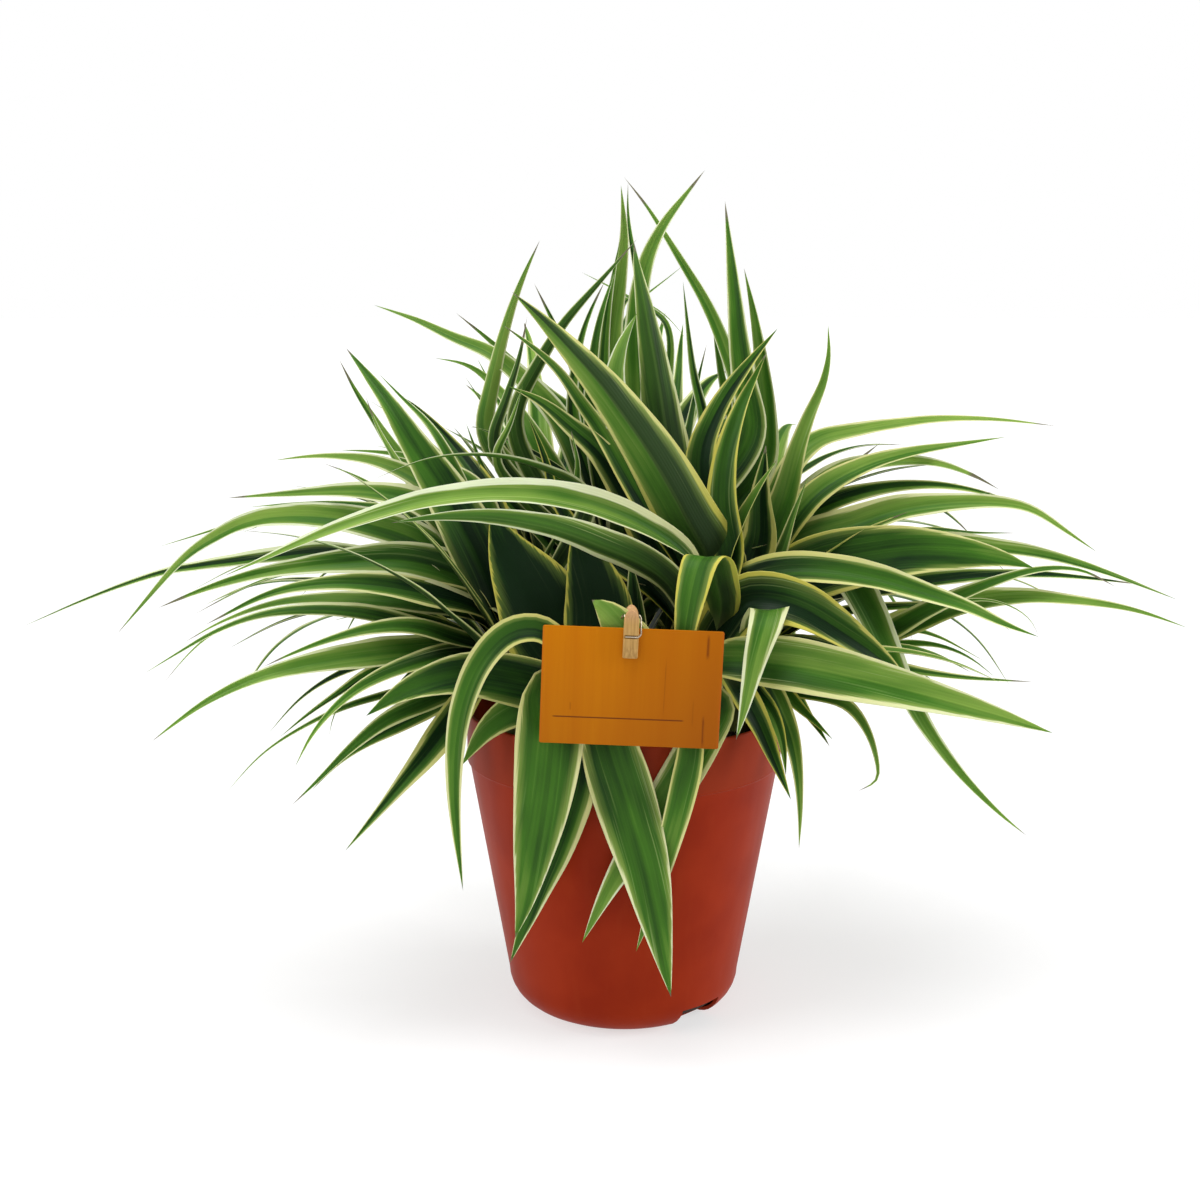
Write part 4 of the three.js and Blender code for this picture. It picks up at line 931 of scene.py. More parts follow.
def new_material(name, finish):
    """A material whose shader starts with a plain value for each input that the finish names."""
    material = bpy.data.materials.new(name)
    material.use_nodes = True
    shader = material.node_tree.nodes["Principled BSDF"]
    fill(material.node_tree, shader, finish)
    return material, material.node_tree, shader


def living_leaf():
    """Waxy living leaf, variegated: green tissue with cream margins and fine lengthwise veins.

    The wax gives a broad soft gloss. The thin tissue lets a little light through.
    """
    material, tree, shader = new_material("waxy_living_leaf", {
        "IOR": 1.42, "Specular IOR Level": 0.12, "Subsurface Weight": 0.12,
        "Subsurface Radius": (0.6, 1.0, 0.3), "Subsurface Scale": 0.0015,
    })
    value = {}
    for name in ("across", "side", "along", "run", "width", "leaf", "pale", "deep", "lean"):
        value[name] = add(tree, "ShaderNodeAttribute", attribute_name=name).outputs["Fac"]
    (tone_and_shade, yellow, dry), (left_margin, right_margin, stray_share) = (
        add(tree, "ShaderNodeSeparateXYZ", {
            0: add(tree, "ShaderNodeAttribute", attribute_name=name).outputs["Vector"],
        }).outputs
        for name in ("hue", "margins")
    )

    # Lengthwise noise at three widths in mm: fine streaks, broad bands and long soft patches.
    across_mm = add(tree, "ShaderNodeMath", {0: value["across"], 1: value["width"]}, operation="MULTIPLY")
    leaf_place = add(tree, "ShaderNodeMath", {0: value["leaf"], 1: 17.3}, operation="MULTIPLY")
    noise = {}
    for name, wide, long, detail in (("streak", 0.8, 70, 3), ("band", 3.4, 150, 1), ("patch", 9, 38, 2)):
        place = add(tree, "ShaderNodeCombineXYZ", {
            0: add(tree, "ShaderNodeMath", {0: across_mm, 1: wide}, operation="DIVIDE"),
            1: add(tree, "ShaderNodeMath", {0: value["run"], 1: long}, operation="DIVIDE"), 2: leaf_place,
        })
        noise[name] = add(tree, "ShaderNodeTexNoise", {"Vector": place, "Scale": 1.0, "Detail": detail})

    def varied(base, name, weight):
        """A value that one width of noise moves up and down."""
        part = add(tree, "ShaderNodeMath", {0: noise[name], 1: 0.5}, operation="SUBTRACT")
        return add(tree, "ShaderNodeMath", {0: part, 1: weight, 2: base}, operation="MULTIPLY_ADD")

    # Green tissue, from dark to light: by the leaf's own tone (partly painted shade), darker in the heart of
    # the plant as painted shade, darker towards the base and lighter towards the tip as painted shade, and
    # mostly lighter on one half of the blade than on the other, as painted light on the fold.
    share = add(tree, "ShaderNodeMath", {0: value["deep"], 1: -0.55, 2: tone_and_shade}, operation="MULTIPLY_ADD")
    # Painted shade: darker towards the leaf's base and lighter towards its tip.
    upward = add(tree, "ShaderNodeMapRange", {"Value": value["along"], "To Min": -0.1, "To Max": 0.2})
    share = add(tree, "ShaderNodeMath", {0: share, 1: upward}, operation="ADD")
    # Painted light on the fold: one half of the blade lighter, the other darker.
    half = add(tree, "ShaderNodeMapRange", {
        "Value": value["across"], "From Min": -0.07, "From Max": 0.07, "To Min": -0.5, "To Max": 0.5,
    }, interpolation_type="SMOOTHSTEP")
    share = add(tree, "ShaderNodeMath", {0: value["lean"], 1: half, 2: share}, operation="MULTIPLY_ADD")
    for name, weight in (("streak", 0.35), ("band", 0.62), ("patch", 0.75)):
        share = varied(share, name, weight)
    darker = add(tree, "ShaderNodeMapRange", {"Value": share, "From Min": 0.0, "From Max": 0.5})
    lighter = add(tree, "ShaderNodeMapRange", {"Value": share, "From Min": 0.5, "From Max": 1.1})
    green = paint("#132C13")
    for share, code in ((darker, "#416F20"), (lighter, "#86A648")):
        green = add(tree, "ShaderNodeMix", {0: share, 6: green, 7: paint(code)}, data_type="RGBA").outputs[2]

    # Each margin has its own width, a streaky inner border and a yellow-green stripe inside it.
    from_midrib = add(tree, "ShaderNodeMath", {0: value["across"]}, operation="ABSOLUTE")
    inward = add(tree, "ShaderNodeMath", {0: 1.0, 1: from_midrib}, operation="SUBTRACT")
    right_side = add(tree, "ShaderNodeMath", {0: value["across"], 1: 0.0}, operation="GREATER_THAN")
    margin = add(tree, "ShaderNodeMix", {0: right_side, 2: left_margin, 3: right_margin})
    ragged = varied(inward, "streak", 0.3)
    swell = varied(1.0, "patch", 1.4)
    margin = add(tree, "ShaderNodeMath", {0: margin, 1: swell}, operation="MULTIPLY")
    inner_from = add(tree, "ShaderNodeMath", {0: margin, 1: 0.04}, operation="SUBTRACT")
    inner_to = add(tree, "ShaderNodeMath", {0: margin, 1: 0.04}, operation="ADD")
    in_green = add(tree, "ShaderNodeMapRange", {
        "Value": ragged, "From Min": inner_from, "From Max": inner_to,
    }, interpolation_type="SMOOTHSTEP")
    stripe_to = add(tree, "ShaderNodeMath", {
        0: noise["band"], 1: 0.45, 2: inner_to,
    }, operation="MULTIPLY_ADD")
    past_stripe = add(tree, "ShaderNodeMapRange", {
        "Value": ragged, "From Min": inner_to, "From Max": stripe_to, "To Min": 0.4, "To Max": 1.0,
    })
    # In the heart of the plant the stripe is painted darker, as shade.
    stripe = add(tree, "ShaderNodeMix", {
        0: value["deep"], 6: paint("#93A653"), 7: paint("#587A26"),
    }, data_type="RGBA").outputs[2]
    green = add(tree, "ShaderNodeMix", {0: past_stripe, 6: stripe, 7: green}, data_type="RGBA").outputs[2]

    # Some pale streaks stray into the green next to the margins.
    stray = add(tree, "ShaderNodeMapRange", {"Value": noise["streak"], "From Min": 0.6, "From Max": 0.68})
    stray_near = add(tree, "ShaderNodeMapRange", {
        "Value": inward, "From Min": margin, "From Max": 0.8, "To Min": 1.0, "To Max": 0.0,
    })
    for share in (stray_near, stray_share):
        stray = add(tree, "ShaderNodeMath", {0: stray, 1: share}, operation="MULTIPLY")
    green = add(tree, "ShaderNodeMix", {0: stray, 6: green, 7: paint("#B2BF7E")}, data_type="RGBA").outputs[2]

    # Margins are cream, and yellower on young leaves and towards the base.
    near_base = add(tree, "ShaderNodeMapRange", {
        "Value": value["run"], "From Min": 20.0, "From Max": 110.0, "To Min": 0.65, "To Max": 0.0,
    })
    yellow = add(tree, "ShaderNodeMath", {0: yellow, 1: near_base}, operation="ADD", use_clamp=True)
    cream = add(tree, "ShaderNodeMix", {
        0: yellow, 6: paint("#DCE6BF"), 7: paint("#CCC456"),
    }, data_type="RGBA").outputs[2]
    skin = add(tree, "ShaderNodeMix", {0: in_green, 6: cream, 7: green}, data_type="RGBA").outputs[2]

    # The under face is paler and duller, and the midrib shows on it as a light line.
    below = add(tree, "ShaderNodeMapRange", {"Value": value["side"], "From Min": 0.05, "From Max": -0.15})
    midrib = add(tree, "ShaderNodeMapRange", {
        "Value": from_midrib, "From Min": 0.03, "From Max": 0.1, "To Min": 0.26, "To Max": 0.1,
    })

    # Bases fade to the white of the stem. The heart is darkened with painted shade, and old tips dry to a
    # grey brown.
    heart_shade_strength = add(tree, "ShaderNodeMapRange", {"Value": in_green, "To Min": 0.3, "To Max": 0.62})
    dry_from = add(tree, "ShaderNodeMath", {0: 1.0, 1: dry}, operation="SUBTRACT")
    dry_to = add(tree, "ShaderNodeMath", {0: dry_from, 1: 0.015}, operation="ADD")
    dried = add(tree, "ShaderNodeMapRange", {
        "Value": value["along"], "From Min": dry_from, "From Max": dry_to,
    })
    below = add(tree, "ShaderNodeMath", {0: below, 1: midrib}, operation="MULTIPLY")
    heart_shade = add(tree, "ShaderNodeMath", {0: value["deep"], 1: heart_shade_strength}, operation="MULTIPLY")
    layers = ((below, "#78984C"), (value["pale"], "#B4BC72"), (heart_shade, "#0F1C10"), (dried, "#6F6856"))
    for share, code in layers:
        skin = add(tree, "ShaderNodeMix", {0: share, 6: skin, 7: paint(code)}, data_type="RGBA").outputs[2]

    # Veins lie 0.9 mm apart, wider than the real ones so that they show, with a fine skin grain.
    vein = add(tree, "ShaderNodeMath", {0: across_mm, 1: 2 * math.pi / 0.9}, operation="MULTIPLY")
    vein = add(tree, "ShaderNodeMath", {0: vein}, operation="SINE")
    vein = add(tree, "ShaderNodeMath", {0: vein, 1: 0.35, 2: noise["streak"]}, operation="MULTIPLY_ADD")
    fill(tree, shader, {
        "Base Color": skin,
        "Normal": add(tree, "ShaderNodeBump", {"Height": vein, "Strength": 0.2, "Distance": 0.0002}),
        "Roughness": add(tree, "ShaderNodeMapRange", {
            "Value": noise["patch"], "To Min": 0.36, "To Max": 0.55,
        }),
    })
    return material


def moulded_polypropylene():
    """Injection-moulded polypropylene, terracotta coloured: an even satin with faint flow marks."""
    material, tree, shader = new_material("moulded_polypropylene", {"IOR": 1.49, "Specular IOR Level": 0.07})
    place = add(tree, "ShaderNodeTexCoord").outputs["Object"]
    cloud = add(tree, "ShaderNodeTexNoise", {"Vector": place, "Scale": 1 / (24 * MM), "Detail": 3.0})
    flow_at = add(tree, "ShaderNodeMapping", {"Vector": place, "Scale": (1, 1, 0.12)})
    flow = add(tree, "ShaderNodeTexNoise", {"Vector": flow_at, "Scale": 1 / (5 * MM), "Detail": 2.0})
    grain = add(tree, "ShaderNodeTexNoise", {"Vector": place, "Scale": 1 / (0.7 * MM), "Detail": 2.0})
    mottled = add(tree, "ShaderNodeMapRange", {"Value": cloud, "From Min": 0.35, "From Max": 0.65})
    dusty = add(tree, "ShaderNodeMapRange", {
        "Value": flow, "From Min": 0.55, "From Max": 0.8, "To Max": 0.12,
    })

    # The band below the rim is painted duller and a little darker than the wall, as shade.
    height = add(tree, "ShaderNodeSeparateXYZ", {0: place}).outputs["Z"]
    band_shade = add(tree, "ShaderNodeMapRange", {
        "Value": height, "From Min": (POT_HEIGHT - BAND_HEIGHT - 0.5) * MM,
        "From Max": (POT_HEIGHT - BAND_HEIGHT + 1.5) * MM, "To Max": 0.3,
    })
    skin = paint("#892305")
    for share, code in ((mottled, "#942A09"), (dusty, "#A4421E"), (band_shade, "#853A22")):
        skin = add(tree, "ShaderNodeMix", {0: share, 6: skin, 7: paint(code)}, data_type="RGBA").outputs[2]
    fill(tree, shader, {
        "Base Color": skin,
        "Normal": add(tree, "ShaderNodeBump", {"Height": grain, "Strength": 0.12, "Distance": 0.0001}),
        "Roughness": add(tree, "ShaderNodeMapRange", {"Value": flow, "To Min": 0.38, "To Max": 0.54}),
    })
    return material


def potting_compost():
    """Damp potting compost: dark crumbs of peat and bark, nearly matt, some paler and fibrous."""
    material, tree, shader = new_material("potting_compost", {"Roughness": 0.9, "IOR": 1.4})
    place = add(tree, "ShaderNodeTexCoord").outputs["Object"]
    crumb = add(tree, "ShaderNodeTexNoise", {"Vector": place, "Scale": 1 / (1.6 * MM), "Detail": 4.0})
    cloud = add(tree, "ShaderNodeTexNoise", {"Vector": place, "Scale": 1 / (14 * MM), "Detail": 2.0})
    pale = add(tree, "ShaderNodeMapRange", {"Value": crumb, "From Min": 0.3, "From Max": 0.7})
    damp = add(tree, "ShaderNodeMapRange", {"Value": cloud, "From Min": 0.4, "From Max": 0.6, "To Max": 0.5})
    skin = paint("#17100B")
    for share, code in ((pale, "#47301F"), (damp, "#21160F")):
        skin = add(tree, "ShaderNodeMix", {0: share, 6: skin, 7: paint(code)}, data_type="RGBA").outputs[2]
    fill(tree, shader, {
        "Base Color": skin,
        "Normal": add(tree, "ShaderNodeBump", {"Height": crumb, "Strength": 0.8, "Distance": 0.0008}),
    })
    return material


# Splits in the card along its grain, in mm about its middle: across, half width, from, to, depth.
CARD_SPLITS = [
    (26.0, 0.32, 10.5, 19.2, 0.75), (25.6, 0.34, -20.0, -8.6, 0.75), (12.1, 0.16, -9.5, 11.0, 0.4),
    (-19.4, 0.2, -8.6, -5.6, 0.35), (21.7, 0.2, -13.0, -3.0, 0.25),
]
# The line scored in its front: its height, its middle and its half length.
CARD_LINE = {"up": -10.8, "middle": -4.0, "half": 21.4}


def oiled_cedar_veneer():
    """Oiled cedar veneer board: warm orange with upright grain, a few dark splits, satin oil film."""
    material, tree, shader = new_material("oiled_cedar_veneer", {"IOR": 1.5, "Specular IOR Level": 0.06})
    place = add(tree, "ShaderNodeAttribute", attribute_name="board").outputs["Vector"]
    across, outwards, upright = add(tree, "ShaderNodeSeparateXYZ", {0: place}).outputs
    grain_at = add(tree, "ShaderNodeMapping", {"Vector": place, "Scale": (1 / 1.1, 1 / 1.1, 1 / 34)})
    grain = add(tree, "ShaderNodeTexNoise", {
        "Vector": grain_at, "Scale": 1.0, "Detail": 4.0, "Roughness": 0.6,
    })
    ring_at = add(tree, "ShaderNodeMapping", {"Vector": place, "Scale": (1 / 7.5, 1 / 7.5, 1 / 90)})
    ring = add(tree, "ShaderNodeTexNoise", {"Vector": ring_at, "Scale": 1.0, "Detail": 2.0})
    ringed = add(tree, "ShaderNodeMapRange", {"Value": ring, "From Min": 0.35, "From Max": 0.68})
    # Painted shade: the board is darker towards its right side and towards its lower edge.
    rightward = add(tree, "ShaderNodeMapRange", {"Value": across, "From Min": -12.0, "From Max": 28.0})
    darker = add(tree, "ShaderNodeMapRange", {
        "Value": upright, "From Min": -20.0, "From Max": 16.0, "To Min": 0.3, "To Max": 0.0,
    })
    darker = add(tree, "ShaderNodeMath", {
        0: rightward, 1: 0.6, 2: darker,
    }, operation="MULTIPLY_ADD", use_clamp=True)
    fine = add(tree, "ShaderNodeMapRange", {
        "Value": grain, "From Min": 0.45, "From Max": 0.75, "To Max": 0.16,
    })
    warm = add(tree, "ShaderNodeMath", {0: across}, operation="ABSOLUTE")
    warm = add(tree, "ShaderNodeMapRange", {"Value": warm, "From Min": 29.3, "From Max": 30.2, "To Max": 0.5})
    layers = [(ringed, "#BB6C05"), (darker, "#984F08"), (fine, "#A05208"), (warm, "#B4561A")]

    def fading(source, middle, full_to, none_from, most, **settings):
        """A share that is full at a middle value and fades to nothing on both sides of it."""
        away = add(tree, "ShaderNodeMath", {0: source, 1: middle}, operation="SUBTRACT")
        away = add(tree, "ShaderNodeMath", {0: away}, operation="ABSOLUTE")
        return add(tree, "ShaderNodeMapRange", {
            "Value": away, "From Min": full_to, "From Max": none_from, "To Min": most, "To Max": 0.0,
        }, **settings)

    wander = add(tree, "ShaderNodeMath", {0: grain, 1: 1.6, 2: across}, operation="MULTIPLY_ADD")
    for middle, half, low, high, depth in CARD_SPLITS:
        split = fading(wander, middle, 0.0, 2.2 * half, depth, interpolation_type="SMOOTHSTEP")
        within = fading(upright, (low + high) / 2, (high - low) * 0.3, (high - low) * 0.52, 1.0)
        split = add(tree, "ShaderNodeMath", {0: split, 1: within}, operation="MULTIPLY")
        layers.append((split, "#6A300A"))

    scored = fading(upright, CARD_LINE["up"], 0.12, 0.34, 0.85)
    reach = fading(across, CARD_LINE["middle"], CARD_LINE["half"], CARD_LINE["half"] + 1, 1.0)
    front = add(tree, "ShaderNodeMath", {0: outwards, 1: -0.3}, operation="LESS_THAN")
    for share in (reach, front):
        scored = add(tree, "ShaderNodeMath", {0: scored, 1: share}, operation="MULTIPLY")
    layers.append((scored, "#5E2B10"))
    skin = paint("#C17406")
    for share, code in layers:
        skin = add(tree, "ShaderNodeMix", {0: share, 6: skin, 7: paint(code)}, data_type="RGBA").outputs[2]
    dent = add(tree, "ShaderNodeMath", {0: grain, 1: 0.4, 2: 0.0}, operation="MULTIPLY_ADD")
    dent = add(tree, "ShaderNodeMath", {0: dent, 1: scored}, operation="SUBTRACT")
    fill(tree, shader, {
        "Base Color": skin,
        "Normal": add(tree, "ShaderNodeBump", {"Height": dent, "Strength": 0.3, "Distance": 0.00015}),
        "Roughness": add(tree, "ShaderNodeMapRange", {"Value": grain, "To Min": 0.36, "To Max": 0.52}),
    })
    return material


def sanded_birch():
    """Sanded birch, unfinished: pale straw wood with fine upright grain and small dark flecks."""
    material, tree, shader = new_material("sanded_birch", {"Roughness": 0.6, "IOR": 1.5})
    place = add(tree, "ShaderNodeTexCoord").outputs["Object"]
    grain_at = add(tree, "ShaderNodeMapping", {"Vector": place, "Scale": (1, 1, 0.05)})
    grain = add(tree, "ShaderNodeTexNoise", {"Vector": grain_at, "Scale": 1 / (0.55 * MM), "Detail": 3.0})
    fleck_at = add(tree, "ShaderNodeMapping", {"Vector": place, "Scale": (1, 1, 0.3)})
    fleck = add(tree, "ShaderNodeTexNoise", {"Vector": fleck_at, "Scale": 1 / (0.5 * MM), "Detail": 1.0})
    grained = add(tree, "ShaderNodeMapRange", {"Value": grain, "From Min": 0.3, "From Max": 0.7})
    flecked = add(tree, "ShaderNodeMapRange", {
        "Value": fleck, "From Min": 0.66, "From Max": 0.74, "To Max": 0.45,
    })

    # The rounded top is lighter and a little pink.
    height = add(tree, "ShaderNodeSeparateXYZ", {0: place}).outputs["Z"]
    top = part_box("peg_front")[1].z
    pink_top = add(tree, "ShaderNodeMapRange", {
        "Value": height, "From Min": top - 5 * MM, "From Max": top, "To Max": 0.55,
    })
    skin = paint("#C39A55")
    for share, code in ((grained, "#9C7232"), (flecked, "#9A6B34"), (pink_top, "#DDAA80")):
        skin = add(tree, "ShaderNodeMix", {0: share, 6: skin, 7: paint(code)}, data_type="RGBA").outputs[2]
    fill(tree, shader, {
        "Base Color": skin,
        "Normal": add(tree, "ShaderNodeBump", {"Height": grain, "Strength": 0.35, "Distance": 0.0001}),
    })
    return material


def plated_spring_wire():
    """Zinc-plated spring steel wire: bright metal, drawn smooth, with a slightly cloudy skin, tinted warm as
    a painted reflection of the orange card.
    """
    material, tree, shader = new_material("plated_spring_wire", {"IOR": 1.5, "Metallic": 1.0})
    place = add(tree, "ShaderNodeTexCoord").outputs["Object"]
    cloud = add(tree, "ShaderNodeTexNoise", {"Vector": place, "Scale": 1 / (0.9 * MM), "Detail": 2.0})
    fill(tree, shader, {
        "Base Color": add(tree, "ShaderNodeMix", {
            0: cloud, 6: paint("#B3A48E"), 7: paint("#CFC3AF"),
        }, data_type="RGBA").outputs[2],
        "Roughness": add(tree, "ShaderNodeMapRange", {"Value": cloud, "To Min": 0.24, "To Max": 0.42}),
    })
    return material


def studio_paper():
    """Matt white studio paper under the pot."""
    return new_material("studio_paper", {
        "Roughness": 0.9, "IOR": 1.45, "Base Color": paint("#A8A8A8"), "Emission Color": (1, 1, 1, 1),
        "Emission Strength": 0.62,
    })[0]


# ---------------------------------------------------------------- leaves and stems

# How each rosette is coloured, as the range of a value over its leaves: shares of the half width that the
# margins take, how yellow they are, how light the green is (partly painted shade), how strongly pale streaks
# stray into it, how deep the fold is and which half is painted lighter, as light falling on the fold. Then
# how much leaves narrow towards the tip, and the longest dry tip as a share of the leaf.
USUAL_LOOK = {
    "margin": (0.12, 0.26), "yellow": (0.0, 0.32), "tone_and_shade": (0.0, 0.6), "stray": (0.2, 0.8),
    "fold": (1.5, 2.8),
    "lean": (-0.5, 0.5), "slim": 0.4, "dry": 0.06,
}
LOOKS = {
    "front": {
        "margin": (0.13, 0.22), "yellow": (0.0, 0.35), "tone_and_shade": (0.3, 0.7), "stray": (0.2, 0.7),
        "fold": (1, 1),
        "lean": (-0.2, 0.2), "slim": 0.0, "dry": 0.02,
    },
    "left": {
        "margin": (0.15, 0.3), "yellow": (0.0, 0.25), "tone_and_shade": (0.04, 0.7), "stray": (0.2, 0.9), "slim": 0.5,
        "dry": 0.08,
    },
    "centre": {
        "margin": (0.14, 0.26), "yellow": (0.4, 0.9), "stray": (0.3, 0.9), "slim": 0.15, "dry": 0.03,
    },
    "right": {"margin": (0.14, 0.3), "yellow": (0.1, 0.5), "tone_and_shade": (0.18, 0.76), "slim": 0.45, "dry": 0.08},
    "top": {
        "margin": (0.12, 0.22), "tone_and_shade": (-0.05, 0.6), "stray": (0.1, 0.7), "lean": (-0.6, 0.6), "slim": 0.2,
    },
    "rear_left": {},
    "rear_right": {},
}
# Leaves that stand out in the photograph, by crown and row: their own values for the looks above, how
# much broader they are, and for some a blunter tip, a turned face or the midrib's own route, as
# (across, down, depth).
# Some tones here are set darker as painted shade, where the leaf lies in shadow.
OWN_LOOKS = {
    ("front", "held"): {"margins": (0.1, 0.16, 0.2), "yellow": 0.4, "tone_and_shade": 0.8, "broad": 1.9, "blunt": 3.2},
    ("front", 0): {
        "broad": 1.2, "tone_and_shade": 0.3, "margins": (0.1, 0.1, 0.2), "lean": -0.15,
        "route": [
            (552, 690, -60), (550, 728, -68), (547, 765, -70), (542, 805, -70), (534, 850, -69.5),
            (525, 900, -69),
            (515, 938, -68),
        ],
    },
    ("front", 1): {"tone_and_shade": 0.35, "margins": (0.12, 0.1, 0.5), "lean": 0.1},
    ("front", 2): {
        "broad": 1.3, "tone_and_shade": 0.2, "lean": 0, "margins": (0.14, 0.2, 0.3),
        "route": [
            (583, 700, -52), (580, 765, -62.5), (569, 810, -61), (556, 850, -60.5), (539, 890, -59.5),
            (510, 963, -58),
        ],
    },
    ("front", 5): {"broad": 0.72, "tone_and_shade": 0.35, "yellow": 0.45, "margins": (0.24, 0.24, 0.3)},
    ("front", 6): {"tone_and_shade": 0.15, "yellow": 0.3, "margins": (0.1, 0.1, 0.1)},
    ("front", 7): {"margins": (0.1, 0.1, 0.1), "yellow": 0.85, "tone_and_shade": 0.05, "broad": 1.9, "lean": 0},
    ("front", 8): {"margins": (0.1, 0.1, 0.1), "yellow": 0.85, "tone_and_shade": 0.1, "broad": 1.4, "lean": 0.1},
    ("top", 0): {"broad": 1.15, "tone_and_shade": 0.45, "lean": 0.1},
    ("top", 1): {"broad": 1.3, "tone_and_shade": 0.72, "lean": 0},
    ("top", 3): {"broad": 1.12, "tone_and_shade": 0.1, "lean": -0.1, "margins": (0.08, 0.16, 0.1), "yellow": 0.3},
    ("top", 4): {"broad": 1.5, "tone_and_shade": 0.5, "lean": 0.1, "slim": 0},
    ("left", 25): {"broad": 1.45, "tone_and_shade": 0.26, "margins": (0.1, 0.1, 0.1), "lean": 0.1},
    ("left", 26): {"broad": 1.35, "tone_and_shade": 0.4, "margins": (0.12, 0.12, 0.2)},
    ("left", 28): {"broad": 1.25, "tone_and_shade": 0.05, "yellow": 0.8},
    ("centre", 0): {
        "margins": (0.16, 0.16, 0.3), "yellow": 0.7, "tone_and_shade": 0.22, "broad": 1.1, "fold": 3.4, "lean": -0.7,
    },
    ("centre", 1): {"margins": (0.46, 0.12, 1.0), "yellow": 0.0, "tone_and_shade": 0.72, "broad": 0.8, "lean": 0},
    ("centre", 2): {"margins": (0.34, 0.1, 0.9), "yellow": 0.05, "tone_and_shade": 0.25, "broad": 1.05, "lean": 0},
    ("centre", 3): {
        "margins": (0.18, 0.18, 0.3), "yellow": 0.75, "tone_and_shade": 0.3, "broad": 1.12, "fold": 1, "face": 0,
        "lean": -0.3,
        "route": [
            (722, 610, -36), (716, 580, -45), (712, 563, -52), (706, 557, -58), (700, 563, -63),
            (692, 592, -66.5),
            (684, 640, -68), (676, 700, -69),
        ],
    },
    ("centre", 4): {"margins": (0.26, 0.24, 0.6), "yellow": 0.4, "tone_and_shade": 0.4},
    ("centre", 9): {"margins": (0.2, 0.14, 1.0), "yellow": 0.25, "tone_and_shade": 0.6, "fold": 1.4, "lean": 0.3},
    ("centre", 10): {
        "margins": (0.24, 0.2, 0.9), "yellow": 0.0, "tone_and_shade": 0.45, "broad": 1.35, "fold": 0.25, "face": 0,
        "lean": 0.2,
        "route": [
            (757, 640, -36), (764, 620, -45), (769, 611, -53), (769, 612, -61), (763, 631, -68.5),
            (754, 664, -71.5),
            (745, 705, -73), (736, 740, -73),
        ],
    },
    ("right", 7): {
        "broad": 1.3, "tone_and_shade": 0.28, "margins": (0.12, 0.1, 0.1), "yellow": 0.55, "slim": 0, "lean": 0.1,
        "fold": 0.6,
        "dry": -0.1,
    },
    ("centre", 13): {
        "broad": 1.15, "tone_and_shade": 0.15, "lean": 0.2,
        "route": [
            (740, 606, -36), (768, 600, -40), (803, 609, -42), (845, 634, -42), (882, 660, -41),
            (915, 692, -40),
        ],
    },
}
LOOK_SEED = 77

# The blade's course in mm: its steps, how often its kinks are eased, where it thins, where it is thin
# because it is narrow, and how far its pale base reaches.
COURSE = {
    "step": 3, "steps": (20, 76), "ease": 60, "thick": (0.75, 0.4), "thin_by": 0.5, "narrow": 1.2,
    "slim_from": 0.25, "slim_over": 0.6, "pale": 0.75, "pale_run": 26,
}
DRY = {"share": 0.5, "least": 0.015, "none": -0.1}
BEND_ROOM = 0.7
EDGE_PASSES = 4


def face_between(faces, at):
    """The upper face's direction between two wide stations, without a kink at either."""
    i = min(int(at), len(faces) - 1)
    share = min(at - i, 1)
    p0, p1 = faces[max(i - 1, 0)], faces[i]
    p2 = faces[min(i + 1, len(faces) - 1)]
    p3 = faces[min(i + 2, len(faces) - 1)]
    return (
        p1 * 2 + (p2 - p0) * share + (p0 * 2 - p1 * 5 + p2 * 4 - p3) * share ** 2
        + (p1 * 3 - p0 - p2 * 3 + p3) * share ** 3
    ) / 2


def heart_shade_at(point):
    """How much painted shade a point gets: from 0 outside the plant to 1 in its heart, above the middle of
    the pot.
    """
    x, y, z = point
    return 1 - smooth(math.sqrt((x / HEART["wide"]) ** 2 + (y / HEART["deep"]) ** 2
                                + ((z - HEART["middle"]) / HEART["tall"]) ** 2))


def inner_edges(fine, sides, halves):
    """How far the blade may reach to either side, so that no edge folds over itself in a bend."""
    reaches = []
    for i, side in enumerate(sides):
        before, after = fine[max(i - 1, 0)], fine[min(i + 1, len(fine) - 1)]
        run = (after[0] - before[0]).length or 1
        bend = (after[1] - before[1]).dot(side) / run
        limit = BEND_ROOM / abs(bend) if bend else math.inf
        reaches.append((min(halves[i], limit) if bend < 0 else halves[i],
                        min(halves[i], limit) if bend > 0 else halves[i]))
    for _ in range(EDGE_PASSES):
        reaches = [reaches[0], *(
            tuple(min(here[k], (before[k] + here[k] * 2 + after[k]) / 4) for k in (0, 1))
            for before, here, after in zip(reaches, reaches[1:], reaches[2:])
        ), reaches[-1]]
    return reaches


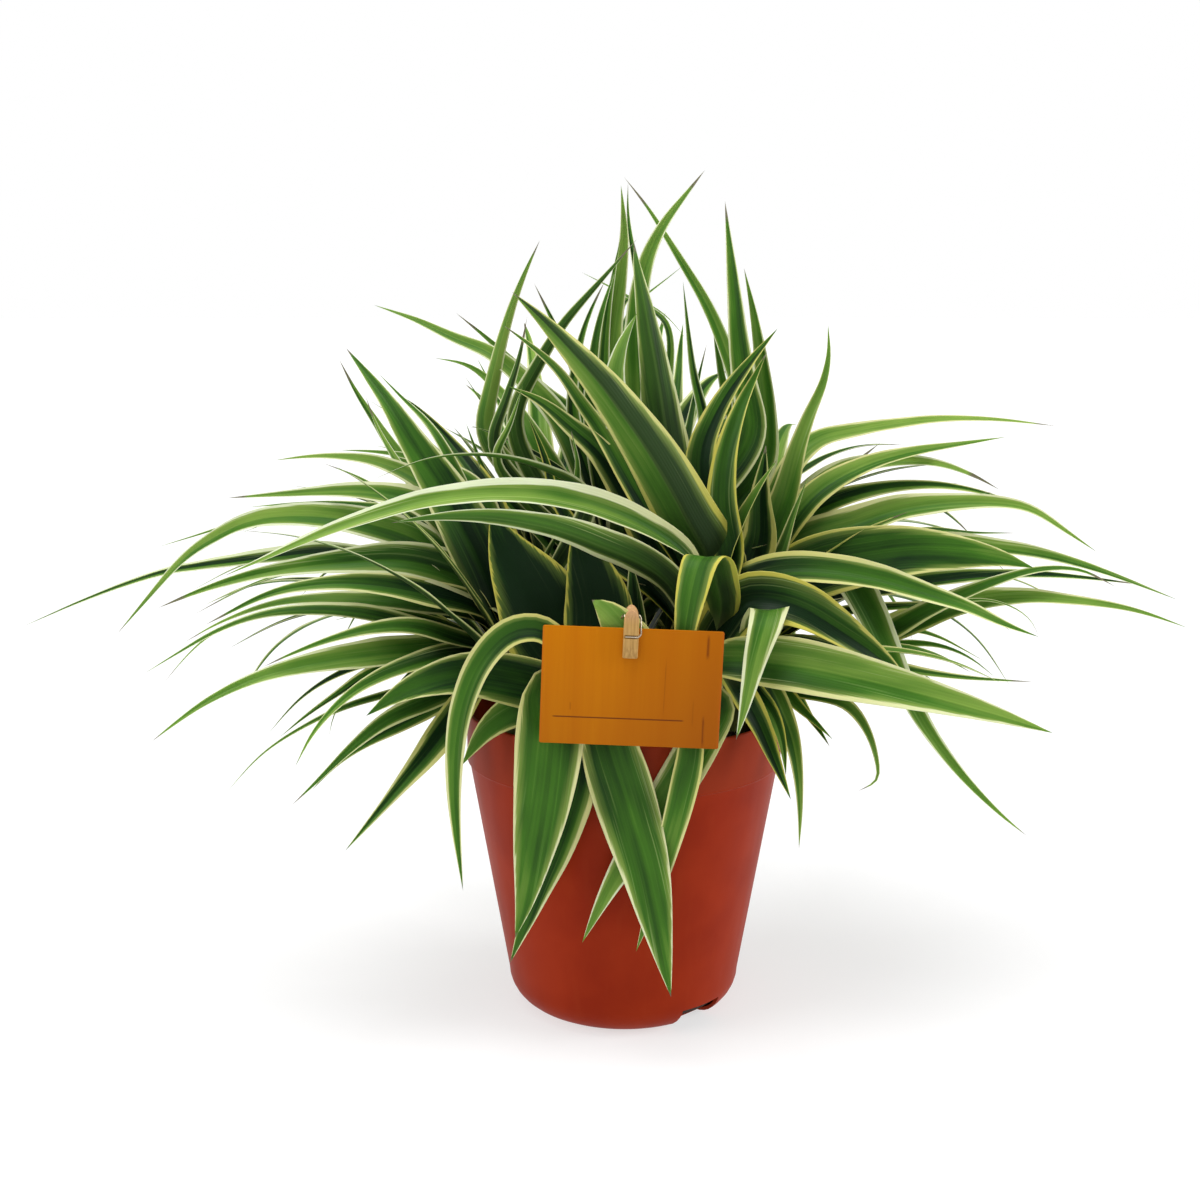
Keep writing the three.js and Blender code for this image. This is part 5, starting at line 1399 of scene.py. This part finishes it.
def leaf_line(leaf, number, look, draw):
    """The points that one leaf's blade is swept from."""
    own = OWN_LOOKS.get((leaf["crown"], leaf.get("row")), {})
    places = leaf["places"]
    if "route" in own:
        places = [places[0], *(seen_at(*mark) for mark in own["route"])]
    coarse, faces, length = face_stations({**leaf, "face": own.get("face", leaf["face"])}, places)
    least, most = COURSE["steps"]
    count = min(max(round(length / COURSE["step"]), least), most)
    fine, _ = stations_on(places, count, ease=COURSE["ease"])
    margins = [lerp(*look[key], draw()) for key in ("margin", "margin", "stray")]
    tone_and_shade, yellow = lerp(*look["tone_and_shade"], draw()), lerp(*look["yellow"], draw())
    dry = DRY["least"] + look["dry"] * draw() if draw() < DRY["share"] else DRY["none"]
    fold = own.get("fold", lerp(*look["fold"], draw()))
    lean = own.get("lean", lerp(*look["lean"], draw()))
    margins = Vector(own.get("margins", margins))
    hue = Vector((own.get("tone_and_shade", tone_and_shade), own.get("yellow", yellow), own.get("dry", dry)))
    headings, sides, halves = [], [], []
    for i, (point, heading) in enumerate(fine):
        along = i / count
        facing = face_between(faces, along * (len(coarse) - 1))
        facing = (facing - heading * facing.dot(heading)).normalized()
        headings.append(facing)
        sides.append(facing.cross(heading))
        blunt = 1 - along ** (2 + 3 * own["blunt"]) if own.get("blunt", 1) > 1 else width_at(along)
        slim = 1 - own.get("slim", look["slim"]) * smooth((along - COURSE["slim_from"]) / COURSE["slim_over"])
        halves.append(leaf["width"] / 2 * own.get("broad", 1) * blunt * slim)
    line = []
    for i, (less, more) in enumerate(inner_edges(fine, sides, halves)):
        point = fine[i][0]
        along = i / count
        half = (less + more) / 2
        spine = point + sides[i] * (more - less) / 2
        thick = lerp(*COURSE["thick"], smooth(along / COURSE["thin_by"])) * min(1, half / COURSE["narrow"])
        line.append({
            "spine": spine * MM, "reach": sides[i] * half * MM, "facing": headings[i],
            "cup": half * cup_at(along) * fold * MM, "thick": thick / 2 * MM, "width": half,
            "run": length * along, "along": along, "leaf": float(number),
            "pale": COURSE["pale"] * (1 - smooth(length * along / COURSE["pale_run"])),
            # Painted shade: the deeper the point lies in the plant, the darker its colour.
            "deep": heart_shade_at(point),
            "hue": hue, "margins": margins, "lean": lean,
        })
    return line


# A stem's core narrows to its neck and is round at the top. The sheaths are leaf bases that wrap it,
# each up to its own height, thinner than the core and a little further out than the one before.
STEM = {
    "below": 6, "steps": 14, "neck": 0.72, "core": 0.94, "round_from": 0.86, "round_over": 0.14,
    "sheaths": 9, "stray": 0.2, "height": (0.62, 0.36), "twist": 0.25, "half": 0.92, "cup": 0.55,
    "thick": 0.35, "apart": 0.1,
}


def stem_lines(crown, number, draw):
    """A crown's stem: a pale core with folded leaf bases wrapped round it."""
    foot = Vector((*CROWNS[crown]["foot"], SOIL_TOP - STEM["below"]))
    neck = Vector(CROWNS[crown]["neck"])
    low, high = CROWNS[crown]["radius"]
    heading = (neck - foot).normalized()
    ahead = heading.cross(Vector((1, 0, 0))).normalized()
    tall = (neck - foot).length
    hue = Vector((0.4, 0.4, -0.1))
    plain = Vector((0.1, 0.1, 0.3))

    def radius_at(t):
        return lerp(low, high * STEM["neck"], smooth(t))

    core = []
    for i in range(STEM["steps"] + 1):
        t = i / STEM["steps"]
        rounding = max(0, (t - STEM["round_from"]) / STEM["round_over"])
        radius = radius_at(t) * STEM["core"] * math.sqrt(max(0, 1 - rounding ** 2))
        core.append({
            "spine": foot.lerp(neck, t) * MM, "reach": ahead.cross(heading) * radius * MM, "facing": ahead,
            "cup": 0.0, "thick": radius * MM, "width": radius, "run": tall * t, "along": 0.5 * t,
            # The core gets painted shade for lying in the heart of the plant.
            "leaf": float(number), "pale": 0.9 - 0.5 * t, "deep": 0.7, "hue": hue, "margins": plain,
            "lean": 0.0,
        })
    lines = [core]
    for k in range(STEM["sheaths"]):
        turn = 2 * math.pi * (k * GOLDEN_SHARE + STEM["stray"] * draw())
        top = STEM["height"][0] + STEM["height"][1] * draw()
        line = []
        for i in range(STEM["steps"] + 1):
            share = i / STEM["steps"]
            t = top * share
            angle = turn + STEM["twist"] * share
            radial = (ahead * math.cos(angle) + ahead.cross(heading) * math.sin(angle)).normalized()
            radius = radius_at(t)
            half = radius * STEM["half"] * (1 - share ** 3)
            facing = -radial
            line.append({
                "spine": (foot.lerp(neck, t) + radial * (radius + STEM["apart"] * k)) * MM,
                "reach": facing.cross(heading) * half * MM, "facing": facing,
                "cup": half * STEM["cup"] * MM, "thick": STEM["thick"] * min(1, half) * MM,
                "width": half, "run": tall * t, "along": 0.9 * share,
                # The sheaths get painted shade for lying in the heart of the plant.
                "leaf": float(number + k + 1), "pale": 0.95 - 0.6 * share, "deep": 0.6, "hue": hue,
                "margins": plain, "lean": 0.0,
            })
        lines.append(line)
    return lines


def make_rosettes():
    tree = blade_tree(living_leaf())
    draw = seeded_draw(LOOK_SEED)
    number = 0
    hearts = heart_leaves()
    for crown, leaves in packed_leaves().items():
        leaves += [leaf for leaf in hearts if leaf["crown"] == crown]
        lines = stem_lines(crown, number, draw)
        number += len(lines)
        for leaf in leaves:
            lines.append(leaf_line(leaf, number, {**USUAL_LOOK, **LOOKS[crown]}, draw))
            number += 1
        piece = grown("leaves_" + crown, line_mesh("lines_" + crown, lines), tree)
        kept(piece, "rosette_" + crown)


# ---------------------------------------------------------------- pot and soil

FLAT_INSET = 6
SOIL_EDGE = 1.5
SOIL_RINGS = 34

def corner_arc(radius, steps=8):
    """The pot's rounded bottom corner, from its foot to its wall."""
    centre = (FOOT_RADIUS - FOOT_CORNER, FOOT_CORNER)
    turns = [math.radians(-90 + 90 * i / steps) for i in range(steps + 1)]
    return [(centre[0] + radius * math.cos(turn), centre[1] + radius * math.sin(turn)) for turn in turns]


def outline_mesh(name, outline):
    return line_mesh(name, [[{"spine": Vector((r * MM, 0, z * MM))} for r, z in outline]])


def make_pot():
    """The pot's section, from the middle of its floor out, up over the softly rounded rim and back in."""
    ledge = POT_HEIGHT - BAND_HEIGHT
    top = POT_HEIGHT
    inner_rim = RIM_RADIUS - POT_WALL
    outline = [
        (0, 0), (FOOT_RADIUS - FOOT_CORNER - FLAT_INSET, 0), *corner_arc(FOOT_CORNER),
        (lerp(FOOT_RADIUS, WALL_TOP_RADIUS, 0.5), lerp(FOOT_CORNER, ledge, 0.5)),
        (WALL_TOP_RADIUS - 0.1, ledge - 0.7), (WALL_TOP_RADIUS, ledge - 0.1),
        (WALL_TOP_RADIUS + 0.25, ledge + 0.2), (RIM_RADIUS - 0.25, ledge + 0.35),
        (RIM_RADIUS - 0.06, ledge + 0.55), (RIM_RADIUS, ledge + 1.0),
        (RIM_RADIUS, top - 0.9), (RIM_RADIUS - 0.1, top - 0.42), (RIM_RADIUS - 0.32, top - 0.12),
        (RIM_RADIUS - 0.65, top), (inner_rim + 0.25, top - 0.06), (inner_rim, top - 0.4),
        (inner_rim - 0.05, top - 1.5), (WALL_TOP_RADIUS - POT_WALL, ledge),
        *reversed(corner_arc(FOOT_CORNER - POT_WALL)), (0, POT_WALL),
    ]
    tree = turned_tree(moulded_polypropylene(), notched=True)
    pot = grown("plastic_pot", outline_mesh("pot_outline", outline), tree, sides=180)
    smoothed(pot.data, 35)
    kept(pot, "pot")


def make_soil():
    """The soil's section, clear of the pot's wall and humped on top, and crumbs strewn over it."""
    inset = POT_WALL + CLEARANCE
    slope = (WALL_TOP_RADIUS - FOOT_RADIUS) / (POT_HEIGHT - BAND_HEIGHT - FOOT_CORNER)
    top_radius = WALL_TOP_RADIUS - inset - 0.2
    outline = [
        (0, inset), (FOOT_RADIUS - FOOT_CORNER, inset),
        (FOOT_RADIUS - FOOT_CORNER * 0.3 - inset, FOOT_CORNER * 0.3 + inset * 0.7),
        (FOOT_RADIUS - inset + slope * 2, FOOT_CORNER + 2), (top_radius, POT_HEIGHT - BAND_HEIGHT),
        (top_radius, SOIL_TOP - SOIL_EDGE),
    ]
    for i in range(1, SOIL_RINGS + 1):
        share = i / SOIL_RINGS
        up = SOIL_TOP - SOIL_EDGE + (SOIL_HUMP + SOIL_EDGE) * (1 - (1 - share) ** 2)
        outline.append((top_radius * (1 - share), up))
    compost = potting_compost()
    section = outline_mesh("soil_outline", outline)
    soil = grown("compost", section, turned_tree(compost), sides=120, lumps=3 * MM)
    soil.data.polygons.foreach_set("use_smooth", [True] * len(soil.data.polygons))
    crumbs = grown("compost_crumbs", soil.data.copy(), crumb_tree(compost))
    kept(soil, "soil")
    kept(crumbs, "soil")


# ---------------------------------------------------------------- card and peg

card_middle = seen_at(*CARD["middle"], CARD["depth"])
peg_middle = seen_at(*PEG["middle"], CARD["depth"] - CARD["thick"] / 2 - CLEARANCE + PEG["gap"])
TILT = Matrix.Rotation(math.radians(CARD["tilt"]), 3, "Y")
CARD_SOFTENED = 0.22
CARD_CORNER = 0.7

# A jaw's lower end is softened and slopes away behind. Its faces flare from these heights up, its
# edges are rounded and its top is a half round.
JAW = {
    "softened": 0.4, "softened_sides": 0.3, "softened_back": 0.2, "slope": 4, "inner_flare": 1.8,
    "outer_flare": 1, "top_round": 4.4, "top_least": 0.0004, "corner": 0.45,
}


def rounded_rectangle(half_x, half_y, corner, steps=4):
    """Corners of a rounded rectangle about the origin, in turn."""
    points = []
    for k, (sx, sy) in enumerate([(1, 1), (-1, 1), (-1, -1), (1, -1)]):
        for i in range(steps + 1):
            turn = math.pi / 2 * (k + i / steps)
            points.append((sx * (half_x - corner) + corner * math.cos(turn),
                           sy * (half_y - corner) + corner * math.sin(turn)))
    return points


def make_card():
    """A thin board with softened edges. Its grain keeps to the board's own directions."""
    rings = []
    for y, inset in [(-0.5, 1), (-0.46, 0.4), (-0.32, 0), (0.32, 0), (0.46, 0.4), (0.5, 1)]:
        inset *= CARD_SOFTENED
        half_x, half_z = CARD["width"] / 2 - inset, CARD["height"] / 2 - inset
        outline = rounded_rectangle(half_x, half_z, CARD_CORNER - inset)
        rings.append([Vector((x, y * CARD["thick"], z)) for x, z in outline])
    placed = [[TILT @ point + card_middle for point in ring] for ring in rings]
    card = lofted("wooden_card", placed, oiled_cedar_veneer())
    board = card.data.attributes.new("board", "FLOAT_VECTOR", "POINT")
    board.data.foreach_set("vector", [number for ring in rings for point in ring for number in point])
    kept(card, "label_card")


def jaw_rings(front):
    """Cross-sections of one jaw from its lower end to its round top."""
    width, outer = PEG["width"] / 2, PEG["gap"] + PEG["jaw"]
    groove_top = -PEG["groove_down"] + PEG["groove_height"] / 2
    groove_low = groove_top - PEG["groove_height"]
    levels = [
        -PEG["bottom"], -PEG["bottom"] + 0.12, -PEG["bottom"] + 0.4, -11.2, -10, -8.8, -7.6,
        groove_low - 0.12,
        groove_low - 0.02, groove_low + 0.05, groove_low + 0.3, groove_top - 0.3, groove_top - 0.05,
        groove_top + 0.02, groove_top + 0.12, -4, -2.5, -1, -0.3, 0.4, 1, 1.5, 1.95, 2.35, 2.7, 3.0, 3.25,
        3.45,
        3.62, 3.75, 3.84, PEG["top"],
    ]
    rings = []
    for z in levels:
        low_end = min(1, (z + PEG["bottom"]) / JAW["softened"])
        rounding = max(0, (z - PEG["top"]) / JAW["top_round"] + 1)
        half = width * math.sqrt(max(JAW["top_least"], 1 - rounding ** 2))
        half -= JAW["softened_sides"] * (1 - low_end) ** 2
        inner_flared, outer_flared = (
            PEG["flare"] * max(0, (z - start) / (PEG["top"] - start))
            for start in (JAW["inner_flare"], JAW["outer_flare"])
        )
        inner = PEG["gap"] + inner_flared
        back = outer + outer_flared
        back -= max(0, 1 - (z + PEG["bottom"]) / JAW["slope"]) + JAW["softened_back"] * (1 - low_end) ** 2
        if groove_low <= z <= groove_top:
            back -= PEG["groove_depth"]
        corner = min(JAW["corner"], half * 0.7, (back - inner) * 0.4)
        middle = (inner + back) / 2
        outline = rounded_rectangle(half, (back - inner) / 2, corner)
        rings.append([TILT @ Vector((x, front * (middle + y), z)) + peg_middle for x, y in outline])
    return rings


def make_peg():
    """Two jaws, and a wire that runs from one jaw's groove round its coil to the other's."""
    wood = sanded_birch()
    kept(lofted("peg_jaw_front", jaw_rings(-1), wood), "peg_front")
    kept(lofted("peg_jaw_back", jaw_rings(1), wood), "peg_back")
    out = PEG["gap"] + PEG["jaw"] - PEG["groove_depth"] / 2
    past = PEG["width"] / 2 + PEG["wire"] + CLEARANCE
    down = -PEG["groove_down"]

    def arm(front):
        return [Vector(place) for place in (
            (-front * (PEG["width"] / 2 - 0.6), -front * out, down), (0, -front * out, down),
            (front * (PEG["width"] / 2 - 0.3), -front * out, down),
            (front * past, -front * (out - 0.6), down + 0.8),
            (front * past, -front * (PEG["gap"] + 1), down * 0.55),
            (front * past, -front * (PEG["gap"] + 0.3), -1.2),
        )]

    coil = []
    marks = round(PEG["turns"] * 6)
    for i in range(marks + 1):
        turn = -math.pi / 2 + 2 * math.pi * PEG["turns"] * i / marks
        across = past * (1 - 2 * i / marks)
        coil.append(Vector((across, PEG["coil"] * math.sin(turn), PEG["coil"] * math.cos(turn))))
    places = [TILT @ place + peg_middle for place in [*arm(1), *coil, *reversed(arm(-1))]]
    route = curve_through(places, per_course=8)
    spring = grown(
        "peg_wire_spring", line_mesh("spring_path", [[{"spine": point * MM} for point in route]]),
        wire_tree(plated_spring_wire()),
    )
    kept(spring, "peg_spring")


# ---------------------------------------------------------------- studio

# Wide soft lamps: where each shines, how strongly, and how many degrees wide it is.
LAMPS = {
    "top": ((0.12, 0.1, -1), 2.1, 35), "left": ((1, 0.35, -0.55), 0.95, 30),
    "right": ((-1, 0.12, -0.4), 1.6, 30), "front": ((0.1, 1, -0.6), 0.25, 60),
}
ROOM_LIGHT = 0.27
FLOOR_RADIUS = 40 / MM

def make_studio():
    """White paper, a white room, four lamps and the camera that the leaves were read with."""
    scene = bpy.context.scene
    scene.view_settings.view_transform = "Standard"
    paper = studio_paper()
    mesh = bmesh.new()
    bmesh.ops.create_circle(mesh, cap_ends=True, segments=96, radius=FLOOR_RADIUS * MM)
    data = bpy.data.meshes.new("floor")
    mesh.to_mesh(data)
    mesh.free()
    data.materials.append(paper)
    floor = bpy.data.objects.new("floor", data)
    scene.collection.objects.link(floor)

    # The room is seen as white and lights the plant less than that, so that its depths stay dark.
    world = bpy.data.worlds.new("studio")
    world.use_nodes = True
    seen = add(world.node_tree, "ShaderNodeLightPath").outputs["Is Camera Ray"]
    strength = add(world.node_tree, "ShaderNodeMapRange", {
        "Value": seen, "To Min": ROOM_LIGHT, "To Max": 1.0,
    })
    fill(world.node_tree, world.node_tree.nodes["Background"], {"Color": (1, 1, 1, 1), "Strength": strength})
    scene.world = world
    for name, (towards, strength, spread) in LAMPS.items():
        lamp = bpy.data.lights.new(name, "SUN")
        lamp.energy = strength
        lamp.angle = math.radians(spread)
        light = bpy.data.objects.new(name, lamp)
        light.rotation_euler = Vector(towards).to_track_quat("-Z", "Y").to_euler()
        scene.collection.objects.link(light)

    lens = bpy.data.cameras.new("camera")
    lens.sensor_width = 36
    lens.lens = VIEW["focal"] * lens.sensor_width / (2 * VIEW["centre"])
    lens.clip_start = 0.01
    camera = bpy.data.objects.new("camera", lens)
    camera.location = EYE * MM
    camera.rotation_euler = (math.radians(90 - VIEW["pitch"]), 0, 0)
    scene.collection.objects.link(camera)
    scene.camera = camera


make_studio()
make_pot()
make_soil()
make_rosettes()
make_card()
make_peg()
